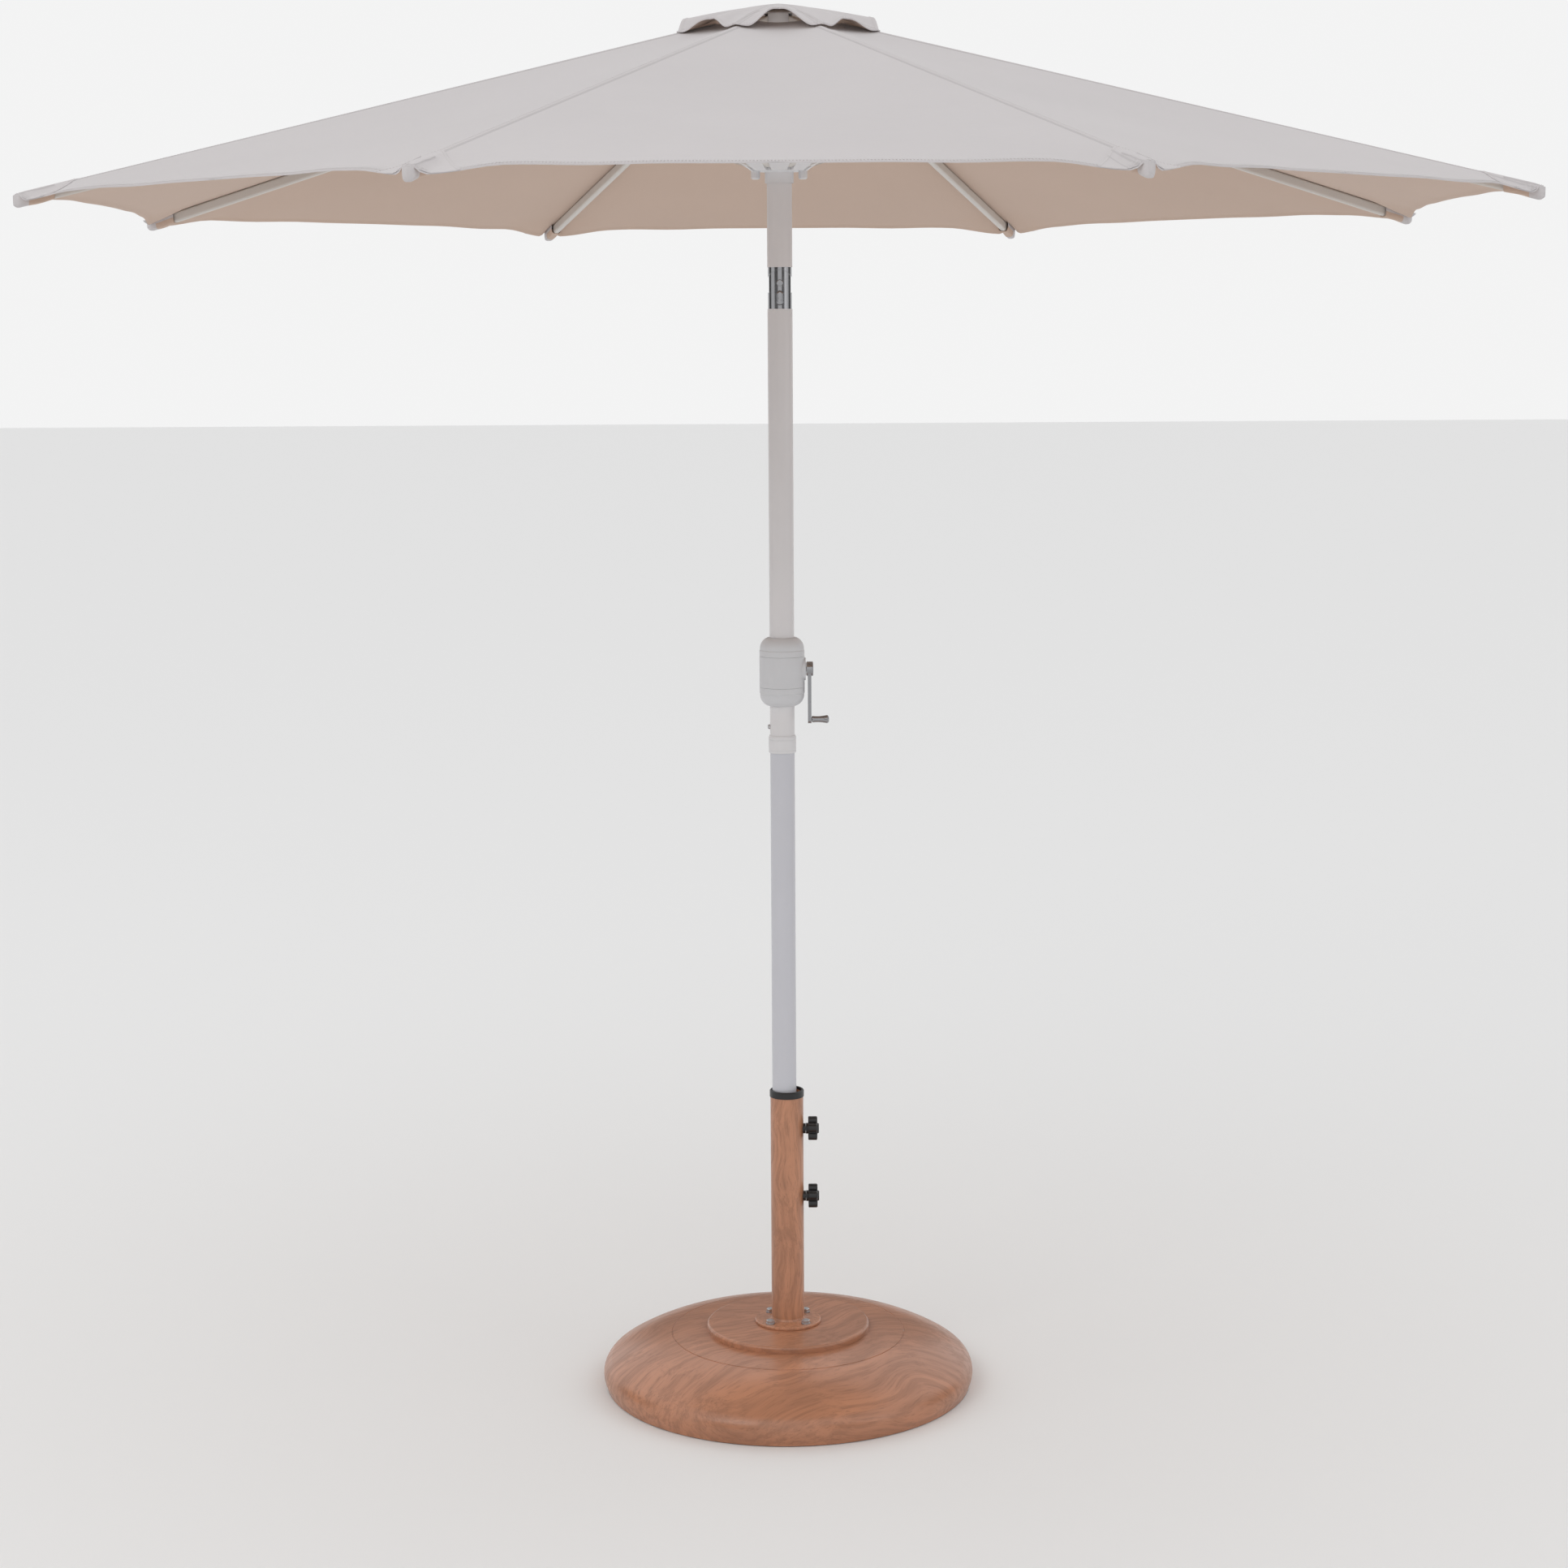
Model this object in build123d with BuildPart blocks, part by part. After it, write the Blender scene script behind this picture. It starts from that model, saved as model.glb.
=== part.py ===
from build123d import *
import os
from math import asin, cos, degrees, hypot, radians, sin, tan

os.makedirs("parts", exist_ok=True)

# A crank-lift market umbrella that stands in a weighted disc base. Millimetres, +Z up.
# The origin is on the floor, on the axis of the pole and the canopy. The crank and the clamp
# knobs point along +X, the snap button along -X, and the tilt button along -Y.

# ---------------------------------------------------------------- driving dimensions
# Poles
POLE_R = 21.0  # outside radius of every pole section
POLE_WALL = 1.5
POLE_BORE_R = POLE_R - POLE_WALL
NECK_R = POLE_BORE_R - 0.2  # a reduced end that fits inside a pole
FOOT_Z = 110.3  # underside of the pole's foot plug
LOWER_POLE_Z = 116.0
PLUG_RIM_TOP_Z = 115.6
PLUG_TOP_Z = 152.0
SPLIT_Z = 1127.0  # where the lower and the middle pole meet
NECK_TOP_Z = 1198.0
MID_POLE_TOP_Z = 1878.0
UPPER_POLE_Z = 1947.0
UPPER_POLE_TOP_Z = 2322.0

# Base, centred on the holder tube, which the clamp screws push the pole across
BASE_X = 4.2
BASE_TOP_Z = 110.0
BASE_SKIN = 4.0
STEP_R = 143.0  # raised centre disc
STEP_LOW_Z = 98.0
STEP_ROUND = 5.0
SLOPE_POINTS = ((STEP_R, STEP_LOW_Z), (240.0, 83.5), (312.0, 50.0))  # dome, as (radius, z)
GROOVE_R = 1.2  # of the fine ring's round-bottomed groove
GROOVE_PLACE = 0.35  # along the dome
EDGE_POINTS = (SLOPE_POINTS[-1], (325.4, 31.0), (323.0, 9.0))  # rounded rim, as (radius, z)
BASE_LIP_R = 321.0
BASE_LIP_Z = 1.5
FOOT_PAD_R = 16.0
FOOT_PAD_H = 4.0
FOOT_PAD_PITCH_R = 285.0
FOOT_PADS = 6
PLATE_R = 316.0
PLATE_T = 4.0
BALLAST_R = 285.0
BALLAST_BORE_R = 62.0
BALLAST_H = 42.0

# Pole holder
HOLDER_R = 28.75
HOLDER_BORE_R = 25.5
FLANGE_R = 58.0
FLANGE_T = 5.0
FLANGE_EDGE = 1.0  # bevel
WELD = 5.0  # fillet weld between the flange and the tube
HOLDER_TOP_Z = 526.0
RIM_H = 4.5
RIM_SKIRT = 7.0  # how far the rim reaches down outside the tube
RIM_T = 1.2
BOLTS = 4
BOLT_PITCH_R = 44.0
BOLT_R = 4.0
BOLT_PLAY = 0.2
BOLT_BELOW = 15.5  # a bolt's shank, below the flange's top
WASHER_R = 8.0
WASHER_T = 1.6
BOLT_HEAD_R = 6.5  # to a flat
BOLT_HEAD_H = 5.3
SLOT_LONG = 18.0
SLOT_WIDE = 9.0

# Clamp knobs
KNOB_Z = {"knob_upper": 460.0, "knob_lower": 338.0}
STUD_R = 4.0
RUNNING = 0.05  # radial clearance of every shaft in its hole
STUD_TIP_X = POLE_R + 0.3
STUD_END_X = 50.0
NUT_R = 9.0
NUT_FACE_X = 36.9
KNOB_IN_X = 37.3
KNOB_STEM_X = 41.3
KNOB_FACE_X = 57.3
KNOB_OUT_X = 60.0
KNOB_STEM_R = 9.5
KNOB_DOME_R = 10.0
KNOB_CORE_R = 14.0
LOBES = 5
LOBE_R = 7.5
LOBE_PITCH_R = 14.0

# Collar and snap button
COLLAR_R = 23.5
COLLAR_Z = (1125.5, 1155.5)
SNAP_Z = 1170.0
SNAP_R = 4.0
SNAP_REACH = 4.0  # how far the button stands out of the pole
SNAP_LEAF_X = -16.2  # outer face of the leaf behind the button
SNAP_LEAF_T = 1.2
COLLAR_RING_R = 0.5  # of its two fine grooves

# Crank housing
HOUSING_R = 38.5
HOUSING_SKIN = 2.6
HOUSING_MID_Z = 1265.6
BARREL_HALF = 26.4
CAP_H = 31.8
CRANK_Z = 1269.7
BOSS_R = 19.5
BOSS_FROM_X = 24.0
BOSS_FACE_X = 40.6
BUSH_R = 8.0
BUSH_RIM_R = 11.0
SCREW_R = 3.0
SCREW_PITCH = (24.0, 30.0)
SCREW_END_Y = 37.6
SCREW_LENGTH = 7.0
CAP_SHOULDER_R = 34.5
SHAFT_R = 4.0
SPOOL_R = 11.0
SPOOL_FLANGE_R = 13.0
SPOOL_HALF = 13.0
SHAFT_X = (-17.0, 46.0)
ARM_HUB_X = (42.1, 53.5)
ARM_HUB_R = 12.5
ARM_X = 44.0  # the arm's inner face
ARM_T = 6.0
ARM_ROOT_R = 10.5
ARM_END_R = 7.0
CRANK_THROW = 87.0
GRIP_Z = CRANK_Z - CRANK_THROW
GRIP_PIN_R = 3.0
GRIP_X = (50.6, 80.0)

# Tilt joint
TILT_Z = 1921.0
TILT_R = 20.0
KNUCKLE_R = 21.5
SOCKET_R = 22.0  # hollow underside of the upper half, about the tilt axis
TONGUE_HALF = 7.7
FORK_HALF = 8.0
TONGUE_END_R = 15.0
TILT_PIN_R = 4.0
TILT_HEAD_R = 5.4
TILT_HEAD_H = 1.4
JOINT_PLUG = 34.0  # how far each half reaches into its pole
BUTTON_Z = 1896.0
BUTTON_Y = (-22.0, -11.0)
SPRING_R = (2.9, 3.9)
SPRING_FROM_Y = -10.6
SPRING_PITCH = 3.6
SPRING_RINGS = 4
BUTTON_WIDE = 11.0
BUTTON_TALL = 24.0

# Fold linkage, as seen in the upright plane through one rib
RIBS = 8
FIRST_RIB_AT = 22.5  # azimuth of rib 1, degrees
PIVOT_R = 45.0  # of both the hub's and the runner's pivots
HUB_Z = 2346.0
RIB_SLOPE = 14.3  # degrees below level when the canopy is open
RIB_LENGTH = 1236.0
RIB_WIDE = 12.0
RIB_TALL = 18.0
RIB_WALL = 0.8
ELBOW_ALONG = 400.0  # hub pivot to elbow pivot, along the rib
ELBOW_DROP = 17.0  # elbow pivot below the rib's centreline
TUBE_FROM = 16.0  # from the hub pivot, along the rib
CAP_T = 4.0
PIVOT_TONGUE_R = 7.0
LUG_R = 6.5
LUG_T = 5.0
RIVET_R = 2.0
RIVET_HALF = 6.8
RIVET_HEAD_R = 3.6
RIVET_HEAD_T = 1.4
STRETCHER_WIDE = 10.0
STRETCHER_TALL = 12.0
STRETCHER_WALL = 0.8
FORK_GAP = 5.8  # between the two cheeks at the elbow
FORK_LONG = 17.0
ARM = hypot(ELBOW_ALONG, ELBOW_DROP)  # both links, pivot to pivot
ARM_SLOPE = RIB_SLOPE + degrees(asin(ELBOW_DROP / ARM))
RUNNER_Z = HUB_Z - 2 * ARM * sin(radians(ARM_SLOPE))

# Hub and runner
HUB_R = 52.0
HUB_HALF_T = 10.0
TONGUE_T = 5.6
HUB_SLOT = 6.4
WIRE_R = 1.5
WIRE_PLAY = 0.1  # radial, as the ring wire bends within each tongue's straight bore
PULLEY_X = 12.0
PULLEY_Z = 2341.0
PULLEY_R = 13.5
PULLEY_PIN_R = 2.5
PULLEY_PIN_HALF = 11.0
HUB_CAP_Z = (2358.2, 2369.0)  # at its rim and in the middle
HUB_CAP_R = 50.0
RUNNER_BORE_R = 22.3
RUNNER_NECK_R = 24.0
RUNNER_NECK_Z = 2085.5
RUNNER_DISH_Z = 2105.0  # underside of the flange
RUNNER_TOP_Z = 2122.0
RUNNER_EDGE = ((46.0, RUNNER_DISH_Z), (62.5, 2116.5), (64.0, 2119.0), (64.0, RUNNER_TOP_Z))
SLEEVE_TOP_Z = 2134.0
RUNNER_SLOT = STRETCHER_WIDE + 0.8
RUNNER_SLOT_FROM = 37.5
PLUG_R = 7.5
PLUG_AT = 39.5
PLUG_LONG = 13.5

# Fabric
CANOPY_R = 1250.0  # to the corners
VENT_HOLE_R = 112.0
FABRIC_T = 1.3  # measured upright
FABRIC_LIFT = 0.8  # above the ribs
VENT_R = 180.0
VENT_HEM_Z = 2330.0
VENT_TOP_R = 14.0
VENT_TOP_Z = 2377.0

# ---------------------------------------------------------------- shared planes and axes
BASE_AXIS = Axis((BASE_X, 0, 0), (0, 0, 1))
BASE_SIDE = Plane(origin=(BASE_X, 0, 0), x_dir=(1, 0, 0), z_dir=(0, -1, 0))
RIB_U = (cos(radians(RIB_SLOPE)), 0, -sin(radians(RIB_SLOPE)))  # outward along a rib
RIB_SIDE = Plane(origin=(PIVOT_R, 0, HUB_Z), x_dir=RIB_U, z_dir=(0, -1, 0))
ARM_U = (cos(radians(ARM_SLOPE)), 0, sin(radians(ARM_SLOPE)))  # outward along a stretcher
ARM_SIDE = Plane(origin=(PIVOT_R, 0, RUNNER_Z), x_dir=ARM_U, z_dir=(0, -1, 0))


def across_x(x, y, z):
    """A plane that faces +X, at a point."""
    return Plane(origin=(x, y, z), x_dir=(0, 1, 0), z_dir=(1, 0, 0))


def across_y(x, y, z):
    """A plane that faces -Y, at a point."""
    return Plane(origin=(x, y, z), x_dir=(1, 0, 0), z_dir=(0, -1, 0))


# ---------------------------------------------------------------- base
def dome_outline(inset):
    """The side of the base cover, moved in by a skin's thickness."""
    top = BASE_TOP_Z - inset
    edge = STEP_R - inset
    low = STEP_LOW_Z - inset
    Polyline((0, BASE_LIP_Z), (0, top), (edge - STEP_ROUND, top))
    TangentArc((edge - STEP_ROUND, top), (edge, top - STEP_ROUND), tangent=(1, 0))
    Line((edge, top - STEP_ROUND), (edge, low))
    ThreePointArc(*[(x - inset, z - inset) for x, z in SLOPE_POINTS])
    (start_x, start_z), (mid_x, mid_z), (end_x, end_z) = EDGE_POINTS
    ThreePointArc((start_x - inset, start_z - inset), (mid_x - inset, mid_z), (end_x - inset, end_z))
    Polyline((end_x - inset, end_z), (BASE_LIP_R - inset, BASE_LIP_Z), (0, BASE_LIP_Z))


groove_at = Edge.make_three_point_arc(*SLOPE_POINTS) @ GROOVE_PLACE
with BuildPart() as base_shell:
    with BuildSketch(BASE_SIDE):
        with BuildLine():
            dome_outline(0)
        make_face()
        with BuildLine():
            dome_outline(BASE_SKIN)
        make_face(mode=Mode.SUBTRACT)
    revolve(axis=BASE_AXIS)
    with BuildSketch(BASE_SIDE):
        with Locations((groove_at.X, groove_at.Y)):
            Circle(GROOVE_R)
    revolve(axis=BASE_AXIS, mode=Mode.SUBTRACT)
    with BuildSketch(Plane.XY.offset(BASE_TOP_Z)):
        with Locations((BASE_X, 0)):
            with PolarLocations(BOLT_PITCH_R, BOLTS, start_angle=45):
                Circle(BOLT_R + BOLT_PLAY)
    extrude(amount=-2 * BASE_SKIN, mode=Mode.SUBTRACT)
base_shell.part.label = "base_shell"
export_step(base_shell.part, "parts/base_shell.step")

with BuildPart() as base_bottom_plate:
    with BuildSketch(Plane.XY.offset(FOOT_PAD_H)):
        with Locations((BASE_X, 0)):
            Circle(PLATE_R)
    extrude(amount=PLATE_T)
base_bottom_plate.part.label = "base_bottom_plate"
export_step(base_bottom_plate.part, "parts/base_bottom_plate.step")

with BuildPart() as base_ballast:
    with BuildSketch(Plane.XY.offset(FOOT_PAD_H + PLATE_T)):
        with Locations((BASE_X, 0)):
            Circle(BALLAST_R)
            Circle(BALLAST_BORE_R, mode=Mode.SUBTRACT)
    extrude(amount=BALLAST_H)
base_ballast.part.label = "base_ballast"
export_step(base_ballast.part, "parts/base_ballast.step")

with BuildPart() as base_feet:
    with BuildSketch(Plane.XY):
        with Locations((BASE_X, 0)):
            with PolarLocations(FOOT_PAD_PITCH_R, FOOT_PADS):
                Circle(FOOT_PAD_R)
    extrude(amount=FOOT_PAD_H)
base_feet.part.label = "base_feet"
export_step(base_feet.part, "parts/base_feet.step")

# ---------------------------------------------------------------- pole holder
FLANGE_TOP_Z = BASE_TOP_Z + FLANGE_T
with BuildPart() as pole_holder:
    with BuildSketch(BASE_SIDE):
        with BuildLine():
            Polyline(
                (HOLDER_BORE_R, BASE_TOP_Z),
                (FLANGE_R - FLANGE_EDGE, BASE_TOP_Z),
                (FLANGE_R, BASE_TOP_Z + FLANGE_EDGE),
                (FLANGE_R, FLANGE_TOP_Z - FLANGE_EDGE),
                (FLANGE_R - FLANGE_EDGE, FLANGE_TOP_Z),
                (HOLDER_R + WELD, FLANGE_TOP_Z),
                (HOLDER_R + 0.3 * WELD, FLANGE_TOP_Z + 0.3 * WELD),
                (HOLDER_R, FLANGE_TOP_Z + WELD),
                (HOLDER_R, HOLDER_TOP_Z),
                (HOLDER_BORE_R, HOLDER_TOP_Z),
                close=True,
            )
        make_face()
    revolve(axis=BASE_AXIS)
    with BuildSketch(Plane.XY.offset(BASE_TOP_Z)):
        with Locations((BASE_X, 0)):
            with PolarLocations(BOLT_PITCH_R, BOLTS, start_angle=45):
                SlotOverall(SLOT_LONG, SLOT_WIDE, rotation=90)
    extrude(amount=FLANGE_T, mode=Mode.SUBTRACT)
    for knob_z in KNOB_Z.values():
        with BuildSketch(across_x(BASE_X, 0, knob_z)):
            Circle(STUD_R + RUNNING)
        extrude(amount=2 * HOLDER_R, mode=Mode.SUBTRACT)
pole_holder.part.label = "pole_holder"
export_step(pole_holder.part, "parts/pole_holder.step")

with BuildPart() as holder_rim:
    with BuildSketch(BASE_SIDE):
        with BuildLine():
            Polyline(
                (HOLDER_BORE_R, HOLDER_TOP_Z),
                (HOLDER_R, HOLDER_TOP_Z),
                (HOLDER_R, HOLDER_TOP_Z - RIM_SKIRT),
                (HOLDER_R + RIM_T, HOLDER_TOP_Z - RIM_SKIRT),
                (HOLDER_R + RIM_T, HOLDER_TOP_Z + RIM_H - 1.5),
                (HOLDER_R + RIM_T - 1.5, HOLDER_TOP_Z + RIM_H),
                (HOLDER_BORE_R, HOLDER_TOP_Z + RIM_H),
                close=True,
            )
        make_face()
    revolve(axis=BASE_AXIS)
holder_rim.part.label = "holder_rim"
export_step(holder_rim.part, "parts/holder_rim.step")

with BuildPart() as holder_bolts:
    for low, height, radius in (
        (FLANGE_TOP_Z, WASHER_T, WASHER_R),
        (FLANGE_TOP_Z - BOLT_BELOW, BOLT_BELOW + WASHER_T, BOLT_R),
    ):
        with BuildSketch(Plane.XY.offset(low)):
            with Locations((BASE_X, 0)):
                with PolarLocations(BOLT_PITCH_R, BOLTS, start_angle=45):
                    Circle(radius)
        extrude(amount=height)
    with BuildSketch(Plane.XY.offset(FLANGE_TOP_Z + WASHER_T)):
        with Locations((BASE_X, 0)):
            with PolarLocations(BOLT_PITCH_R, BOLTS, start_angle=45):
                RegularPolygon(BOLT_HEAD_R, 6, major_radius=False)
    extrude(amount=BOLT_HEAD_H)
    chamfer(holder_bolts.faces().sort_by(Axis.Z)[-BOLTS:].edges(), length=0.8)
holder_bolts.part.label = "holder_bolts"
export_step(holder_bolts.part, "parts/holder_bolts.step")

with BuildPart() as knob_nuts:
    for knob_z in KNOB_Z.values():
        with BuildSketch(across_x(BASE_X + HOLDER_BORE_R, 0, knob_z)):
            Circle(NUT_R)
        extrude(amount=NUT_FACE_X - BASE_X - HOLDER_BORE_R)
    with BuildSketch(Plane.XY.offset(HOLDER_TOP_Z)):
        with Locations((BASE_X, 0)):
            Circle(HOLDER_R)
    extrude(amount=-HOLDER_TOP_Z, mode=Mode.SUBTRACT)
    for knob_z in KNOB_Z.values():
        with BuildSketch(across_x(BASE_X, 0, knob_z)):
            Circle(STUD_R + RUNNING)
        extrude(amount=KNOB_IN_X, mode=Mode.SUBTRACT)
knob_nuts.part.label = "knob_nuts"
export_step(knob_nuts.part, "parts/knob_nuts.step")

# ---------------------------------------------------------------- clamp knobs
for knob_name, knob_z in KNOB_Z.items():
    with BuildPart() as stud:
        with BuildSketch(across_x(STUD_TIP_X, 0, knob_z)):
            Circle(STUD_R)
        extrude(amount=STUD_END_X - STUD_TIP_X)
        chamfer(stud.faces().sort_by(Axis.X)[0].edges(), length=0.8)
    stud.part.label = f"{knob_name}_stud"
    export_step(stud.part, f"parts/{knob_name}_stud.step")

    with BuildPart() as knob:
        with BuildSketch(across_x(KNOB_STEM_X, 0, knob_z)):
            Circle(KNOB_CORE_R)
            with PolarLocations(LOBE_PITCH_R, LOBES, start_angle=90):
                Circle(LOBE_R)
        extrude(amount=KNOB_FACE_X - KNOB_STEM_X)
        fillet(knob.faces().sort_by(Axis.X)[-1].edges(), radius=2.4)
        fillet(knob.faces().sort_by(Axis.X)[0].edges(), radius=1.6)
        with BuildSketch(across_x(KNOB_IN_X, 0, knob_z)):
            Circle(KNOB_STEM_R)
        extrude(amount=KNOB_STEM_X - KNOB_IN_X + 1)
        with BuildSketch(across_x(KNOB_FACE_X - 1, 0, knob_z)):
            Circle(KNOB_DOME_R)
        extrude(amount=KNOB_OUT_X - KNOB_FACE_X + 1, taper=25)
        with BuildSketch(across_x(KNOB_IN_X, 0, knob_z)):
            Circle(STUD_R + RUNNING)
        extrude(amount=STUD_END_X + 0.5 - KNOB_IN_X, mode=Mode.SUBTRACT)
    knob.part.label = knob_name
    export_step(knob.part, f"parts/{knob_name}.step")

# ---------------------------------------------------------------- lower pole
with BuildPart() as pole_foot_plug:
    with BuildSketch(Plane.XZ):
        with BuildLine():
            Polyline(
                (0, FOOT_Z),
                (POLE_R - 2, FOOT_Z),
                (POLE_R, FOOT_Z + 2),
                (POLE_R, PLUG_RIM_TOP_Z),
                (POLE_BORE_R - RUNNING, PLUG_RIM_TOP_Z),
                (POLE_BORE_R - RUNNING, PLUG_TOP_Z - 2),
                (POLE_BORE_R - 3, PLUG_TOP_Z),
                (0, PLUG_TOP_Z),
                close=True,
            )
        make_face()
    revolve(axis=Axis.Z)
pole_foot_plug.part.label = "pole_foot_plug"
export_step(pole_foot_plug.part, "parts/pole_foot_plug.step")

with BuildPart() as lower_pole:
    with BuildSketch(Plane.XZ):
        with BuildLine():
            Polyline(
                (POLE_BORE_R, LOWER_POLE_Z),
                (POLE_R, LOWER_POLE_Z),
                (POLE_R, SPLIT_Z),
                (NECK_R, SPLIT_Z + 1),
                (NECK_R, NECK_TOP_Z - 2),
                (NECK_R - 0.8, NECK_TOP_Z),
                (NECK_R - POLE_WALL, NECK_TOP_Z),
                (NECK_R - POLE_WALL, SPLIT_Z - 6),
                (POLE_BORE_R, SPLIT_Z - 12),
                close=True,
            )
        make_face()
    revolve(axis=Axis.Z)
    with BuildSketch(across_x(-POLE_R - 2, 0, SNAP_Z)):
        Circle(SNAP_R + RUNNING)
    extrude(amount=POLE_R, mode=Mode.SUBTRACT)
lower_pole.part.label = "lower_pole"
export_step(lower_pole.part, "parts/lower_pole.step")

with BuildPart() as pole_collar:
    with BuildSketch(Plane.XZ):
        with BuildLine():
            low, high = COLLAR_Z
            Polyline(
                (POLE_R + 0.05, low),
                (COLLAR_R - 1, low),
                (COLLAR_R, low + 1),
                (COLLAR_R, high - 3),
                (COLLAR_R - 1.2, high),
                (POLE_R + 0.05, high),
                close=True,
            )
        make_face()
        for ring_z in (COLLAR_Z[0] + 5, COLLAR_Z[1] - 7):
            with Locations((COLLAR_R, ring_z)):
                Circle(COLLAR_RING_R, mode=Mode.SUBTRACT)
    revolve(axis=Axis.Z)
pole_collar.part.label = "pole_collar"
export_step(pole_collar.part, "parts/pole_collar.step")

with BuildPart() as snap_button:
    with BuildSketch(across_x(-POLE_R - SNAP_REACH, 0, SNAP_Z)):
        Circle(SNAP_R)
    extrude(amount=SNAP_REACH + POLE_R + SNAP_LEAF_X + 0.7)
    fillet(snap_button.faces().sort_by(Axis.X)[0].edges(), radius=2.2)
    with BuildSketch(across_x(SNAP_LEAF_X, 0, SNAP_Z + 6)):
        RectangleRounded(10, 26, 3)
    extrude(amount=SNAP_LEAF_T)
snap_button.part.label = "snap_button"
export_step(snap_button.part, "parts/snap_button.step")

# ---------------------------------------------------------------- middle pole and crank housing
with BuildPart() as mid_pole:
    with BuildSketch(Plane.XY.offset(SPLIT_Z + 1.2)):
        Circle(POLE_R)
        Circle(POLE_BORE_R, mode=Mode.SUBTRACT)
    extrude(amount=MID_POLE_TOP_Z - SPLIT_Z - 1.2)
    with BuildSketch(across_x(-POLE_R - 2, 0, SNAP_Z)):
        Circle(SNAP_R + 0.3)
    extrude(amount=POLE_R, mode=Mode.SUBTRACT)
    with BuildSketch(across_x(0, 0, CRANK_Z)):
        Circle(SHAFT_R + 0.6)
    extrude(amount=POLE_R + 2, mode=Mode.SUBTRACT)
mid_pole.part.label = "mid_pole"
export_step(mid_pole.part, "parts/mid_pole.step")

with BuildPart() as housing_barrel:
    with BuildSketch(Plane.XY.offset(HOUSING_MID_Z - BARREL_HALF)):
        Circle(HOUSING_R)
    extrude(amount=2 * BARREL_HALF)
    with BuildSketch(across_x(BOSS_FROM_X, 0, CRANK_Z)):
        Circle(BOSS_R)
    extrude(amount=BOSS_FACE_X - BOSS_FROM_X)
    fillet(housing_barrel.faces().sort_by(Axis.X)[-1].edges(), radius=1.2)
    with BuildSketch(Plane.XY.offset(HOUSING_MID_Z - BARREL_HALF)):
        Circle(HOUSING_R - HOUSING_SKIN)
    extrude(amount=2 * BARREL_HALF, mode=Mode.SUBTRACT)
    with BuildSketch(across_x(BOSS_FROM_X, 0, CRANK_Z)):
        Circle(BOSS_R - HOUSING_SKIN)
        Circle(BUSH_R + 2, mode=Mode.SUBTRACT)
    extrude(amount=BOSS_FACE_X - BOSS_FROM_X - HOUSING_SKIN, mode=Mode.SUBTRACT)
    with BuildSketch(across_x(0, 0, CRANK_Z)):
        Circle(BUSH_R)
    extrude(amount=2 * BOSS_FACE_X, mode=Mode.SUBTRACT)
    with BuildSketch(across_y(0, 45, HOUSING_MID_Z)):
        with GridLocations(*SCREW_PITCH, 2, 2):
            Circle(SCREW_R + 0.1)
    extrude(amount=20, mode=Mode.SUBTRACT)
housing_barrel.part.label = "housing_barrel"
export_step(housing_barrel.part, "parts/housing_barrel.step")

with BuildPart() as housing_upper_cap:
    with BuildSketch(Plane.XZ):
        low = HOUSING_MID_Z + BARREL_HALF + 0.3
        top = low + CAP_H
        skin = HOUSING_SKIN
        with BuildLine():
            Polyline(
                (POLE_R + 0.1, top - 5),
                (POLE_R + 0.1, top),
                (POLE_R + 3, top),
            )
            ThreePointArc((POLE_R + 3, top), (CAP_SHOULDER_R, top - 8), (HOUSING_R - 1, top - 20.8))
            Polyline(
                (HOUSING_R - 1, top - 20.8),
                (HOUSING_R, top - 22.2),
                (HOUSING_R, low),
                (HOUSING_R - skin, low),
                (HOUSING_R - skin, top - 22),
            )
            ThreePointArc(
                (HOUSING_R - skin, top - 22),
                (CAP_SHOULDER_R - skin, top - 11),
                (POLE_R + 5, top - 5),
            )
            Line((POLE_R + 5, top - 5), (POLE_R + 0.1, top - 5))
        make_face()
    revolve(axis=Axis.Z)
housing_upper_cap.part.label = "housing_upper_cap"
export_step(housing_upper_cap.part, "parts/housing_upper_cap.step")

with BuildPart() as housing_lower_cap:
    mirror(housing_upper_cap.part, about=Plane.XY.offset(HOUSING_MID_Z))
housing_lower_cap.part.label = "housing_lower_cap"
export_step(housing_lower_cap.part, "parts/housing_lower_cap.step")

with BuildPart() as housing_screws:
    with BuildSketch(across_y(0, SCREW_END_Y, HOUSING_MID_Z)):
        with GridLocations(*SCREW_PITCH, 2, 2):
            Circle(SCREW_R)
    extrude(amount=SCREW_LENGTH)
    chamfer(housing_screws.faces().sort_by(Axis.Y)[-4:].edges(), length=0.6)
    with BuildSketch(across_y(0, SCREW_END_Y, HOUSING_MID_Z)):
        with GridLocations(*SCREW_PITCH, 2, 2):
            Rectangle(3.6, 0.8)
            Rectangle(0.8, 3.6)
    extrude(amount=0.9, mode=Mode.SUBTRACT)
housing_screws.part.label = "housing_screws"
export_step(housing_screws.part, "parts/housing_screws.step")

# ---------------------------------------------------------------- crank
with BuildPart() as crank_bush:
    with BuildSketch(across_x(POLE_R + 0.6, 0, CRANK_Z)):
        Circle(BUSH_R)
    extrude(amount=BOSS_FACE_X - POLE_R - 0.6)
    with BuildSketch(across_x(BOSS_FACE_X, 0, CRANK_Z)):
        Circle(BUSH_RIM_R)
    extrude(amount=1)
    with BuildSketch(across_x(0, 0, CRANK_Z)):
        Circle(SHAFT_R + RUNNING)
    extrude(amount=60, mode=Mode.SUBTRACT)
crank_bush.part.label = "crank_bush"
export_step(crank_bush.part, "parts/crank_bush.step")

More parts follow.
